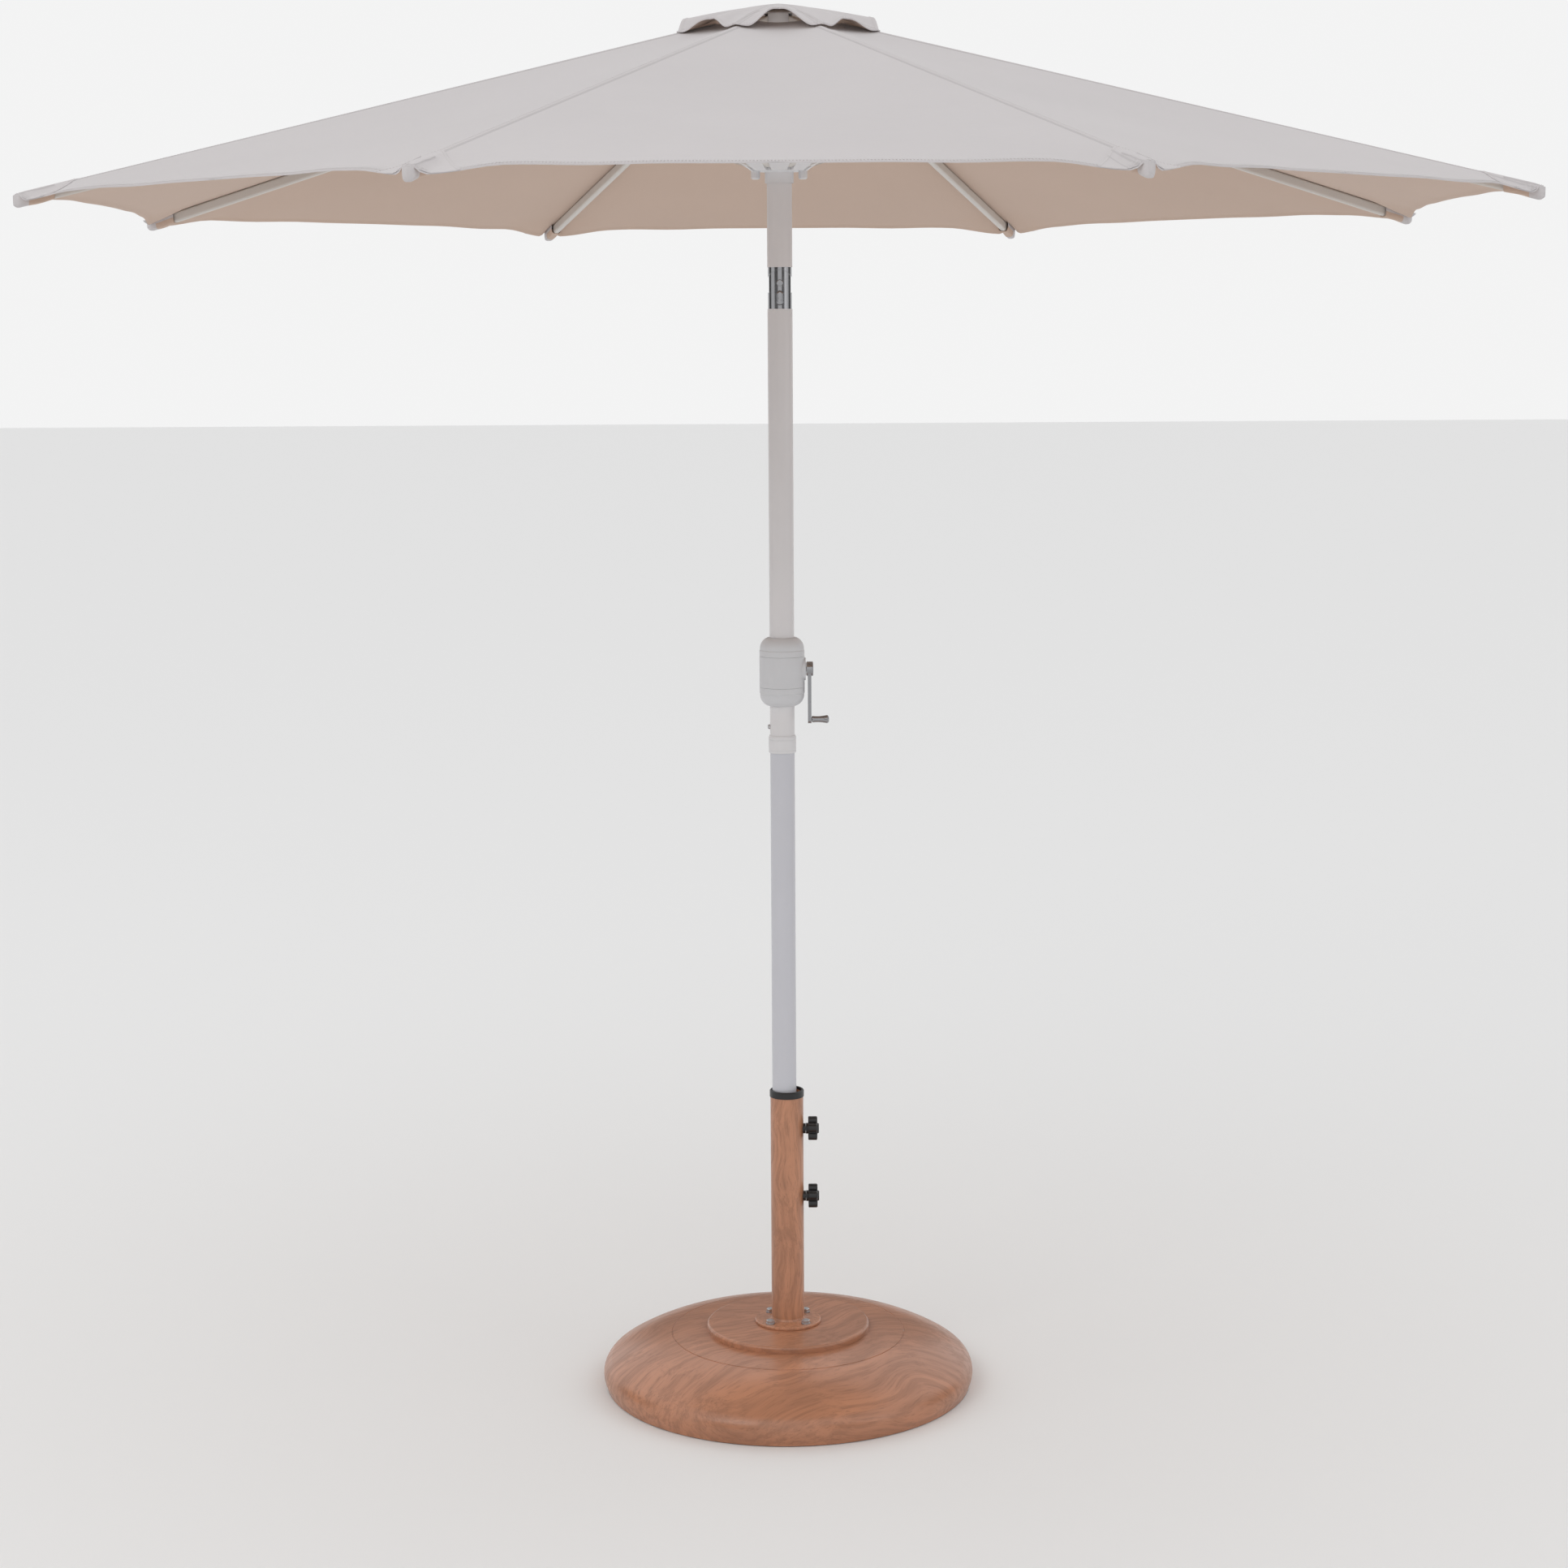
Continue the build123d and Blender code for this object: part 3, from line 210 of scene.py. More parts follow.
class Effects:
    """Shader node groups that several finishes share, each built once."""

    def __init__(self) -> None:
        """Start with no group built."""
        self.built: dict[str, Tree] = {}

    def group(self, name: str, inputs: dict[str, float], outputs: Sequence[str],
              fill: Callable[[Nodes, Sockets, Sockets], None]) -> Tree:
        """Build a group the first time that it is asked for.

        Args:
            name: the group's name.
            inputs: the value of each float input, which come after its Vector input.
            outputs: the names of the float outputs.
            fill: places the nodes between the group's own inputs and outputs.

        Returns:
            The group.
        """
        if name in self.built:
            return self.built[name]
        tree = bpy.data.node_groups.new(name, "ShaderNodeTree")
        tree.interface.new_socket("Vector", in_out="INPUT", socket_type="NodeSocketVector")
        for label, value in inputs.items():
            socket = tree.interface.new_socket(label, in_out="INPUT", socket_type="NodeSocketFloat")
            socket.default_value = value
        for label in outputs:
            tree.interface.new_socket(label, in_out="OUTPUT", socket_type="NodeSocketFloat")
        nodes = Nodes(tree)
        fill(nodes, nodes.add("NodeGroupInput").outputs, nodes.add("NodeGroupOutput").inputs)
        self.built[name] = tree
        return tree

    def place(self, nodes: Nodes, tree: Tree, vector: Socket,
              **values: float) -> Sockets:
        """Place a group in a material.

        Args:
            nodes: the material's nodes.
            tree: the group.
            vector: the coordinates that it reads.
            values: its other inputs, by name with spaces as underscores.

        Returns:
            The group node's outputs.
        """
        return nodes.give(nodes.add("ShaderNodeGroup", node_tree=tree), Vector=vector, **values).outputs

    def mottle(self) -> Tree:
        """Broad cloudy patches, fine specks and a faint orange-peel height.

        Returns:
            The tree.
        """

        def fill(n: Nodes, given: Sockets, out: Sockets) -> None:
            vector = given["Vector"]
            n.join(n.noise(vector, given["Patch Scale"], 4.0), out["Patches"])
            n.join(n.ramp(n.noise(vector, given["Speck Scale"], 2.0, 0.7), 0.60, 0.78), out["Specks"])
            n.join(n.noise(vector, given["Peel Scale"], 1.5, 0.4), out["Height"])

        return self.group("mottle", {"Patch Scale": 4.0, "Speck Scale": 400.0, "Peel Scale": 500.0},
                          ("Patches", "Specks", "Height"), fill)

    def weave(self) -> Tree:
        """Over-and-under threads of a plain canvas, from coordinates in metres along the cloth.

        Returns:
            The tree.
        """

        def fill(n: Nodes, given: Sockets, out: Sockets) -> None:
            split = n.give(n.add("ShaderNodeSeparateXYZ"), Vector=given["Vector"]).outputs
            turns = n.math("DIVIDE", 2 * math.pi, given["Pitch"])
            warp, weft = (n.math("SINE", n.times(split[axis], turns)) for axis in (0, 1))
            threads = n.math("ADD", n.times(n.times(warp, weft), 0.5), 0.5)
            slub = n.noise(given["Vector"], 55.0, 3.0, 0.6)
            n.join(threads, out["Threads"])
            n.join(n.ramp(slub, 0.35, 0.75), out["Slubs"])
            n.join(n.math("ADD", n.times(threads, 0.7), n.times(slub, 0.5)), out["Height"])

        return self.group("weave", {"Pitch": 0.0016}, ("Threads", "Slubs", "Height"), fill)

    def grain(self) -> Tree:
        """Long flowing wood lines that bend round soft knots, with short pores between them.

        Returns:
            The tree.
        """

        def fill(n: Nodes, given: Sockets, out: Sockets) -> None:
            bend = n.give(n.add("ShaderNodeTexNoise"), Vector=given["Vector"], Scale=given["Bend Scale"],
                          Detail=1.5)
            centred = n.add("ShaderNodeVectorMath", operation="SUBTRACT")
            n.join(bend.outputs["Color"], centred.inputs[0])
            centred.inputs[1].default_value = (0.5, 0.5, 0.5)
            scaled = n.add("ShaderNodeVectorMath", operation="SCALE")
            n.join(centred.outputs[0], scaled.inputs[0])
            n.join(given["Bend"], scaled.inputs["Scale"])
            bent = n.add("ShaderNodeVectorMath", operation="ADD")
            n.join(given["Vector"], bent.inputs[0])
            n.join(scaled.outputs[0], bent.inputs[1])
            stretch = n.give(n.add("ShaderNodeMapping"), Vector=bent.outputs[0], Scale=(0.06, 1.0, 1.0))
            for label, scale, detail, rough, low, high in (
                    ("Lines", given["Line Scale"], 4.0, 0.62, 0.38, 0.66),
                    ("Bands", n.times(given["Line Scale"], 0.16), 2.0, 0.55, 0.32, 0.70),
                    ("Pores", n.times(given["Line Scale"], 4.0), 2.0, 0.55, 0.56, 0.72)):
                n.join(n.ramp(n.noise(stretch.outputs[0], scale, detail, rough), low, high), out[label])

        return self.group("grain", {"Bend Scale": 4.0, "Bend": 0.2, "Line Scale": 60.0},
                          ("Lines", "Bands", "Pores"), fill)

    def scuffs(self) -> Tree:
        """Thin scratches in two directions and smudges, for bare and plated metal.

        Returns:
            The tree.
        """

        def fill(n: Nodes, given: Sockets, out: Sockets) -> None:
            masks = []
            for stretch in ((1.0, 30.0, 1.0), (30.0, 1.0, 6.0)):
                mapping = n.give(n.add("ShaderNodeMapping"), Vector=given["Vector"], Scale=stretch)
                masks.append(n.ramp(n.noise(mapping.outputs[0], given["Scale"], 2.0), 0.63, 0.70))
            n.join(n.math("MAXIMUM", *masks), out["Scratches"])
            n.join(n.noise(given["Vector"], 28.0, 3.0), out["Smudges"])

        return self.group("scuffs", {"Scale": 90.0}, ("Scratches", "Smudges"), fill)


EFFECTS = Effects()


# ------------------------------------------------------------------ finishes
@dataclass(frozen=True)
class Finish:
    """A surface with one Principled shader, and what every finish shares."""

    name: str
    colour: Colour
    roughness: float = 0.5

    @functools.cache
    def material(self) -> bpy.types.Material:
        """Build the material once and return it.

        Returns:
            The material.
        """
        made = bpy.data.materials.new(self.name)
        made.use_nodes = True
        nodes = Nodes(made.node_tree)
        shader = made.node_tree.nodes["Principled BSDF"]
        nodes.give(shader, Base_Color=(*self.colour, 1.0), Roughness=self.roughness)
        self.paint(nodes, shader, nodes.add("ShaderNodeTexCoord").outputs)
        return made

    def paint(self, n: Nodes, shader: Node, where: Sockets) -> None:
        """Add this finish's pattern to the shader."""

    def tone(self, share: float) -> Colour:
        """This finish's colour, lighter or darker by a share."""
        return tuple(min(1.0, channel * share) for channel in self.colour)

    def clouded(self, n: Nodes, patches: Socket, spread: float) -> Socket:
        """This finish's colour with clouds a little darker and lighter than it."""
        return n.mix(patches, self.tone(1 - spread), self.tone(1 + spread))

    def over(self, n: Nodes, base: Socket, mask: Socket, share: float,
             tone: float) -> Socket:
        """Lay a tone of this finish's colour over a base, by a share of a mask."""
        return n.mix(n.times(mask, share), base, self.tone(tone))

    def roughen(self, n: Nodes, mask: Socket, share: float,
                offset: float = 0.0) -> Socket:
        """This finish's roughness, offset and then raised by a share of a mask."""
        return n.math("ADD", n.times(mask, share), self.roughness + offset)

    def mottled(self, n: Nodes, where: Sockets, patch: float, speck: float, peel: float) -> Sockets:
        """Place the mottle group on the object's coordinates, at three scales."""
        return EFFECTS.place(n, EFFECTS.mottle(), where["Object"], Patch_Scale=patch,
                             Speck_Scale=speck, Peel_Scale=peel)

    def bump(self, n: Nodes, shader: Node, height: Socket,
             strength: float, distance: float) -> None:
        """Feed a height to the shader's normal through a Bump node."""
        node = n.give(n.add("ShaderNodeBump"), Strength=strength, Distance=distance, Height=height)
        n.join(node.outputs[0], shader.inputs["Normal"])


@dataclass(frozen=True)
class Canvas(Finish):
    """Woven polyester canvas, with a seam's shadow along the rib line of a cloth piece."""

    pitch: float = 0.0016
    cloudy: float = 0.05
    seam_half: float = 0.0062

    def paint(self, n: Nodes, shader: Node, where: Sockets) -> None:
        """Add threads, slubs, soft clouds and the seam line."""
        weave = EFFECTS.place(n, EFFECTS.weave(), where["UV"], Pitch=self.pitch)
        base = self.clouded(n, self.mottled(n, where, 2.2, 260.0, 60.0)["Patches"], self.cloudy)
        base = self.over(n, base, weave["Threads"], 0.10, 0.72)
        base = self.over(n, base, weave["Slubs"], 0.06, 1.12)
        across = n.give(n.add("ShaderNodeSeparateXYZ"), Vector=where["UV"]).outputs[0]
        off_seam = n.math("ABSOLUTE", n.math("SUBTRACT", n.math("ABSOLUTE", across), self.seam_half))
        shadow = n.math("SUBTRACT", 1.0, n.ramp(off_seam, 0.0004, 0.0022))
        n.give(shader, Base_Color=self.over(n, base, shadow, 0.35, 0.62),
               Roughness=self.roughen(n, weave["Threads"], 0.08), Sheen_Weight=0.15, Sheen_Roughness=0.5)
        self.bump(n, shader, weave["Height"], 0.35, 0.0003)


@dataclass(frozen=True)
class Paint(Finish):
    """Powder-coated steel: soft peel, faint specks and rubbed patches."""

    peel: float = 0.12
    handled: float = 0.05

    def paint(self, n: Nodes, shader: Node, where: Sockets) -> None:
        """Add clouds, specks and peel."""
        mottle = self.mottled(n, where, 7.0, 900.0, 620.0)
        base = self.over(n, self.clouded(n, mottle["Patches"], self.handled), mottle["Specks"], 0.22, 0.80)
        n.give(shader, Base_Color=base, Roughness=self.roughen(n, mottle["Patches"], 0.16, -0.08),
               Coat_Weight=0.15, Coat_Roughness=0.25)
        self.bump(n, shader, mottle["Height"], self.peel, 0.0002)


@dataclass(frozen=True)
class Moulded(Finish):
    """Injection-moulded plastic with a fine spark texture."""

    texture: float = 0.2

    def paint(self, n: Nodes, shader: Node, where: Sockets) -> None:
        """Add the spark texture and faint flow clouds."""
        mottle = self.mottled(n, where, 18.0, 1500.0, 1300.0)
        base = self.over(n, self.clouded(n, mottle["Patches"], 0.05), mottle["Specks"], 0.15, 0.85)
        n.give(shader, Base_Color=base, Roughness=self.roughen(n, mottle["Height"], 0.12, -0.06))
        self.bump(n, shader, mottle["Height"], self.texture, 0.00015)


@dataclass(frozen=True)
class WoodPrint(Finish):
    """A wood-grain film under satin lacquer.

    The grain runs along the X axis of turned coordinates, so `turn` points it where it should go.
    """

    turn: Point = (0.0, 0.0, 0.0)
    bend: float = 0.20
    bend_scale: float = 3.6
    line_scale: float = 95.0

    def paint(self, n: Nodes, shader: Node, where: Sockets) -> None:
        """Add bands, lines and pores under the lacquer."""
        turned_to = n.give(n.add("ShaderNodeMapping", vector_type="TEXTURE"), Vector=where["Object"],
                           Rotation=self.turn)
        grain = EFFECTS.place(n, EFFECTS.grain(), turned_to.outputs[0], Bend_Scale=self.bend_scale,
                              Bend=self.bend, Line_Scale=self.line_scale)
        base = n.mix(grain["Bands"], self.tone(1.13), self.tone(0.88))
        base = self.over(n, base, grain["Lines"], 0.55, 0.60)
        base = self.over(n, base, grain["Pores"], 0.30, 0.48)
        n.give(shader, Base_Color=base, Roughness=self.roughen(n, grain["Lines"], 0.10),
               Coat_Weight=0.35, Coat_Roughness=0.18)
        self.bump(n, shader, grain["Lines"], 0.06, 0.0003)


@dataclass(frozen=True)
class Metal(Finish):
    """Plated or bare metal with smudges and fine scratches."""

    scratch: float = 0.4

    def paint(self, n: Nodes, shader: Node, where: Sockets) -> None:
        """Add scratches and smudges to the roughness and colour."""
        scuffs = EFFECTS.place(n, EFFECTS.scuffs(), where["Object"], Scale=90.0)
        lines = n.times(scuffs["Scratches"], self.scratch)
        rough = n.math("ADD", self.roughen(n, scuffs["Smudges"], 0.14, -0.04), n.times(lines, 0.2))
        n.give(shader, Metallic=1.0, Base_Color=n.mix(lines, self.colour, self.tone(0.75)), Roughness=rough)
        self.bump(n, shader, scuffs["Scratches"], 0.05, 0.0001)


@dataclass(frozen=True)
class Cast(Finish):
    """Rubber or concrete: dull, pitted and dusty."""

    pit_scale: float = 180.0
    pits: float = 0.5

    def paint(self, n: Nodes, shader: Node, where: Sockets) -> None:
        """Add pits and dust."""
        mottle = self.mottled(n, where, 9.0, self.pit_scale, self.pit_scale)
        base = n.mix(mottle["Patches"], self.tone(0.80), self.tone(1.25))
        n.join(self.over(n, base, mottle["Specks"], 0.5, 0.55), shader.inputs["Base Color"])
        self.bump(n, shader, mottle["Height"], self.pits, 0.0008)


@dataclass(frozen=True)
class StudioPaint(Finish):
    """The floor's even matt paint."""

    def paint(self, n: Nodes, shader: Node, where: Sockets) -> None:
        """Add very faint wide clouds to the roughness."""
        n.join(self.roughen(n, n.noise(where["Object"], 0.4), 0.1, -0.05), shader.inputs["Roughness"])


# The two cloth colours are one beige fabric lit two ways. The outer face's greyer tone partly paints the
# pale sky light that washes the top. The inner face's warm tan partly paints the light that shines through
# the cloth and its warm bounce.
CLOTH_OUT_WITH_PAINTED_SKYLIGHT = Canvas("cloth_outer", (0.590, 0.560, 0.566), 0.80)
CLOTH_IN_WITH_PAINTED_BACKLIGHT = Canvas("cloth_inner", (0.570, 0.425, 0.340), 0.84)
THREAD = Canvas("sewing_thread", (0.590, 0.555, 0.550), 0.70, pitch=0.0008, seam_half=9.0)
UPPER_PAINT = Paint("upper_pole_paint", (0.700, 0.685, 0.695), 0.42)
LOWER_PAINT = Paint("lower_pole_paint", (0.585, 0.590, 0.635), 0.42)
RIB_PAINT = Paint("rib_enamel", (0.620, 0.585, 0.550), 0.40)
LIGHT_PLASTIC = Moulded("light_plastic", (0.705, 0.700, 0.715), 0.46)
HOUSING_PLASTIC = Moulded("housing_plastic", (0.615, 0.620, 0.640), 0.50)
BLACK_PLASTIC = Moulded("dull_black_plastic", (0.014, 0.014, 0.015), 0.34)
CHROME = Metal("chrome_plate", (0.33, 0.33, 0.342), 0.10)
ZINC = Metal("zinc_plate", (0.52, 0.52, 0.53), 0.34)
BASE_WOOD = WoodPrint("base_wood_print", (0.455, 0.200, 0.108), 0.36,
                      turn=(0.0, 0.0, math.radians(28)))
TUBE_WOOD = WoodPrint("tube_wood_print", (0.490, 0.226, 0.126), 0.38,
                      turn=(0.0, math.radians(88), 0.0), bend=0.05, bend_scale=9.0, line_scale=150.0)
RUBBER = Cast("foot_rubber", (0.02, 0.02, 0.02), 0.85)
CONCRETE = Cast("ballast_concrete", (0.35, 0.34, 0.32), 0.92, pit_scale=90.0, pits=0.8)
FLOOR = StudioPaint("studio_floor", (0.84, 0.84, 0.84), 0.9)


# ------------------------------------------------------------------ mesh helpers
def smooth_step(low: float, high: float, value: float) -> float:
    """Rise softly from 0 at low to 1 at high."""
    share = min(1.0, max(0.0, (value - low) / (high - low)))
    return share * share * (3 - 2 * share)


def rib_angle(number: int) -> float:
    """The azimuth of rib `number`, counted from 1."""
    return FIRST_RIB + (number - 1) * 2 * math.pi / RIBS


def turned(x: float, y: float, z: float, number: int) -> Point:
    """A place x along and y across rib `number`, turned into the row frame."""
    angle = rib_angle(number)
    return x * math.cos(angle) - y * math.sin(angle), x * math.sin(angle) + y * math.cos(angle), z


def half_chord(radius: float) -> float:
    """How far a gore's middle is from its rib line, at a corner radius."""
    return radius * math.sin(HALF_GORE) * math.cos(HALF_GORE)


def mesh_object(name: str, points: Sequence[Point], faces: Sequence[Sequence[int]],
                finishes: Sequence[Finish], slots: Sequence[int] | None = None,
                uvs: Sequence[tuple[float, float]] | None = None, smooth: bool = True) -> Piece:
    """Make a mesh object at the origin.

    Args:
        name: the object's name.
        points: vertex places in the row frame.
        faces: vertex numbers of each face.
        finishes: its materials.
        slots: each face's material number.
        uvs: each vertex's place on the cloth, in metres.
        smooth: whether faces are shaded smooth.

    Returns:
        The new object.
    """
    mesh = bpy.data.meshes.new(name)
    mesh.from_pydata(points, [], faces)
    for finish in finishes:
        mesh.materials.append(finish.material())
    if slots is not None:
        mesh.polygons.foreach_set("material_index", slots)
    if uvs is not None:
        layer = mesh.uv_layers.new(name="cloth")
        for loop in mesh.loops:
            layer.data[loop.index].uv = uvs[loop.vertex_index]
    mesh.polygons.foreach_set("use_smooth", [smooth] * len(mesh.polygons))
    mesh.update()
    made = bpy.data.objects.new(name, mesh)
    bpy.context.scene.collection.objects.link(made)
    return made


def applied(source: Piece) -> Piece:
    """Turn an object with modifiers into a plain mesh object of the same name.

    Args:
        source: the object, which is removed.

    Returns:
        The new piece.
    """
    bpy.context.view_layer.update()
    depsgraph = bpy.context.evaluated_depsgraph_get()
    mesh = bpy.data.meshes.new_from_object(source.evaluated_get(depsgraph))
    name = source.name
    bpy.data.objects.remove(source)
    made = bpy.data.objects.new(name, mesh)
    bpy.context.scene.collection.objects.link(made)
    return made


@dataclass
class ThinSheet:
    """A grid of cloth with an outer and an inner face and closed edges."""

    name: str
    knots: list[list[Knot]]
    finishes: tuple[Finish, Finish] = (CLOTH_OUT_WITH_PAINTED_SKYLIGHT, CLOTH_IN_WITH_PAINTED_BACKLIGHT)

    def build(self) -> Piece:
        """Make the mesh, with outward faces and a sharp rim."""
        rows, columns = len(self.knots), len(self.knots[0])
        points = [knot[side.value] for side in Side for row in self.knots for knot in row]
        uvs = [knot[2] for row in self.knots for knot in row] * 2
        offset = rows * columns

        def at(row: int, column: int, side: Side) -> int:
            """The number of a vertex."""
            return side.value * offset + row * columns + column

        faces: list[tuple[int, ...]] = []
        slots: list[int] = []
        for row in range(rows - 1):
            for column in range(columns - 1):
                ring = ((row, column), (row + 1, column), (row + 1, column + 1), (row, column + 1))
                faces.append(tuple(at(*corner, Side.OUTER) for corner in ring))
                faces.append(tuple(at(*corner, Side.INNER) for corner in reversed(ring)))
                slots += [Side.OUTER.value, Side.INNER.value]
        edge = [(row, 0) for row in range(rows)] + [(rows - 1, column) for column in range(1, columns)]
        edge += [(row, columns - 1) for row in range(rows - 2, -1, -1)]
        edge += [(0, column) for column in range(columns - 2, 0, -1)]
        for first, second in zip(edge, edge[1:] + edge[:1]):
            faces.append((at(*second, Side.OUTER), at(*first, Side.OUTER),
                          at(*first, Side.INNER), at(*second, Side.INNER)))
            slots.append(Side.OUTER.value)
        made = mesh_object(self.name, points, faces, self.finishes, slots, uvs)
        rim = {frozenset((at(*a, side), at(*b, side)))
               for a, b in zip(edge, edge[1:] + edge[:1]) for side in Side}
        for line in made.data.edges:
            line.use_edge_sharp = frozenset(line.vertices) in rim
        return made


# ------------------------------------------------------------------ stitches
@dataclass
class Stitching:
    """Rows of stitches, as short capsules set along lines by Geometry Nodes."""

    length: float = 0.0030
    gap: float = 0.0016
    radius: float = 0.00038
    finish: Finish = THREAD
    tree: Tree | None = field(default=None, init=False)

    def nodes(self) -> Tree:
        """Build the tree once, with its sizes as named inputs.

        Returns:
            The tree.
        """
        if self.tree is not None:
            return self.tree
        tree = bpy.data.node_groups.new("stitch_rows", "GeometryNodeTree")
        tree.interface.new_socket("Geometry", in_out="INPUT", socket_type="NodeSocketGeometry")
        for label, value in (("Stitch Length", self.length), ("Pitch", self.length + self.gap),
                             ("Thread Radius", self.radius)):
            socket = tree.interface.new_socket(label, in_out="INPUT", socket_type="NodeSocketFloat")
            socket.default_value = value
        tree.interface.new_socket("Thread", in_out="INPUT", socket_type="NodeSocketMaterial")
        tree.interface.new_socket("Geometry", in_out="OUTPUT", socket_type="NodeSocketGeometry")
        n = Nodes(tree)
        given, out = n.add("NodeGroupInput").outputs, n.add("NodeGroupOutput").inputs
        walk = n.give(n.add("GeometryNodeCurveToPoints", mode="LENGTH"), Curve=given["Geometry"],
                      Length=given["Pitch"]).outputs
        turn = n.give(n.add("FunctionNodeAlignRotationToVector", axis="Z"), Vector=walk["Tangent"])
        capsule = n.give(n.add("GeometryNodeMeshUVSphere"), Segments=5, Rings=4, Radius=1.0)
        thread = given["Thread Radius"]
        size = n.give(n.add("ShaderNodeCombineXYZ"), X=thread, Y=thread,
                      Z=n.times(given["Stitch Length"], 0.5))
        place = n.give(n.add("GeometryNodeInstanceOnPoints"), Points=walk["Points"],
                       Instance=capsule.outputs["Mesh"], Rotation=turn.outputs["Rotation"],
                       Scale=size.outputs[0])
        real = n.give(n.add("GeometryNodeRealizeInstances"), Geometry=place.outputs[0])
        dye = n.give(n.add("GeometryNodeSetMaterial"), Geometry=real.outputs[0], Material=given["Thread"])
        n.join(dye.outputs[0], out[0])
        self.tree = tree
        return tree

    def sew(self, name: str, lines: Sequence[Sequence[Point]]) -> Piece:
        """Sew stitches along some lines.

        Args:
            name: the new piece's name.
            lines: each line's points in the row frame.

        Returns:
            A plain mesh with every stitch.
        """
        curve = bpy.data.curves.new(name, "CURVE")
        curve.dimensions = "3D"
        for line in lines:
            spline = curve.splines.new("POLY")
            spline.points.add(len(line) - 1)
            for point, place in zip(spline.points, line):
                point.co = (*place, 1.0)
        source = bpy.data.objects.new(name, curve)
        bpy.context.scene.collection.objects.link(source)
        modifier = source.modifiers.new("rows", "NODES")
        modifier.node_group = self.nodes()
        for item in modifier.node_group.interface.items_tree:
            if item.in_out == "INPUT" and item.name == "Thread":
                modifier[item.identifier] = self.finish.material()
        return applied(source)


# ------------------------------------------------------------------ canopy
@dataclass
class CanopyForm:
    """The shape of the stretched cloth, in the upright plane of a rib and across its gores."""

    corner_r: float
    hem_z: float
    hole_z: float
    hole_r: float = 0.112
    scallop: float = 0.034  # how far the middle of a gore's hem pulls in
    sag: float = 0.011
    hem_band: float = 0.009
    seam_half: float = 0.0062
    band_rise: float = 0.0007
    thickness: float = 0.0011
    crease: float = 0.0013
    droop: float = 0.0095  # where the cloth hugs a rib's end
    droop_span: float = 0.110
    droop_from: float = 0.0065  # across the rib, where the droop starts and is deepest
    droop_full: float = 0.020

    @classmethod
    def from_frame(cls) -> CanopyForm:
        """Read the driving sizes from the CAD canopy."""
        low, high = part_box("canopy")
        return cls(corner_r=high.x / math.cos(HALF_GORE), hem_z=low.z, hole_z=high.z)

    @property
    def slope(self) -> float:
        """The fall along a rib for each metre outward."""
        return (self.hole_z - self.hem_z) / (self.corner_r - self.hole_r)

    def across(self, x: float, y: float) -> tuple[float, float]:
        """The corner radius through a point, and its share of the way to the gore's middle."""
        radius = x + abs(y) * math.tan(HALF_GORE)
        return radius, min(1.0, abs(y) / max(half_chord(radius), 1e-6))

    def hem_radius(self, share: float) -> float:
        """The corner radius of the hem at a share of the way to the gore's middle."""
        return self.corner_r - self.scallop * (1 - (1 - share) ** 2)

    def height(self, x: float, y: float, number: int) -> float:
        """The height of the cloth's outer face.

        Args:
            x: outward from the umbrella's axis along the rib.
            y: across the rib.
            number: the rib's number, which sets its own creases.

        Returns:
            The height above the floor.
        """
        radius, share = self.across(x, y)
        along = (radius - self.hole_r) / (self.corner_r - self.hole_r)
        reach = min(1.0, max(0.0, along))
        flat = self.hem_z + (self.corner_r - radius) * self.slope
        fullness = math.sin(math.pi * min(1.0, 0.12 + 0.80 * reach)) ** 0.8
        belly = self.sag * (1 - (1 - share) ** 2) * fullness
        return flat - belly - self.corner_droop(radius, y) + self.creases(reach, share, y, number)

    def corner_droop(self, radius: float, y: float) -> float:
        """How far the cloth beside a rib's end is pulled down by its pocket.

        Args:
            radius: the corner radius of a point.
            y: across the rib.

        Returns:
            The distance in metres.
        """
        near_end = smooth_step(self.corner_r - self.droop_span, self.corner_r, radius)
        beside = (smooth_step(self.droop_from, self.droop_full, abs(y))
                  * (1 - smooth_step(self.droop_full, self.droop_span, abs(y))))
        return self.droop * near_end * beside

    def creases(self, reach: float, share: float, y: float, number: int) -> float:
        """Small tension folds that fan in from the corner and along the hem.

        Args:
            reach: its share of the way from the vent hole to the hem.
            share: its share of the way to the gore's middle.
            y: across the rib.
            number: the rib's number.

        Returns:
            The distance in metres.
        """
        side = 1 if y >= 0 else -1
        window = 4 * share * (1 - share) ** 2
        fan = math.sin(share * 15.0 + 5.0 * reach + number * 1.7 + side) * reach ** 6
        ripple = math.sin(21.0 * reach + 6.0 * share + number * 2.3 * side) * 0.35
        return self.crease * window * (fan * 1.6 + ripple)

    def point(self, x: float, y: float, number: int, lift: float = 0.0) -> Point:
        """A place on rib `number`'s half-gores, turned into the row frame."""
        return turned(x, y, self.height(x, y, number) + lift, number)


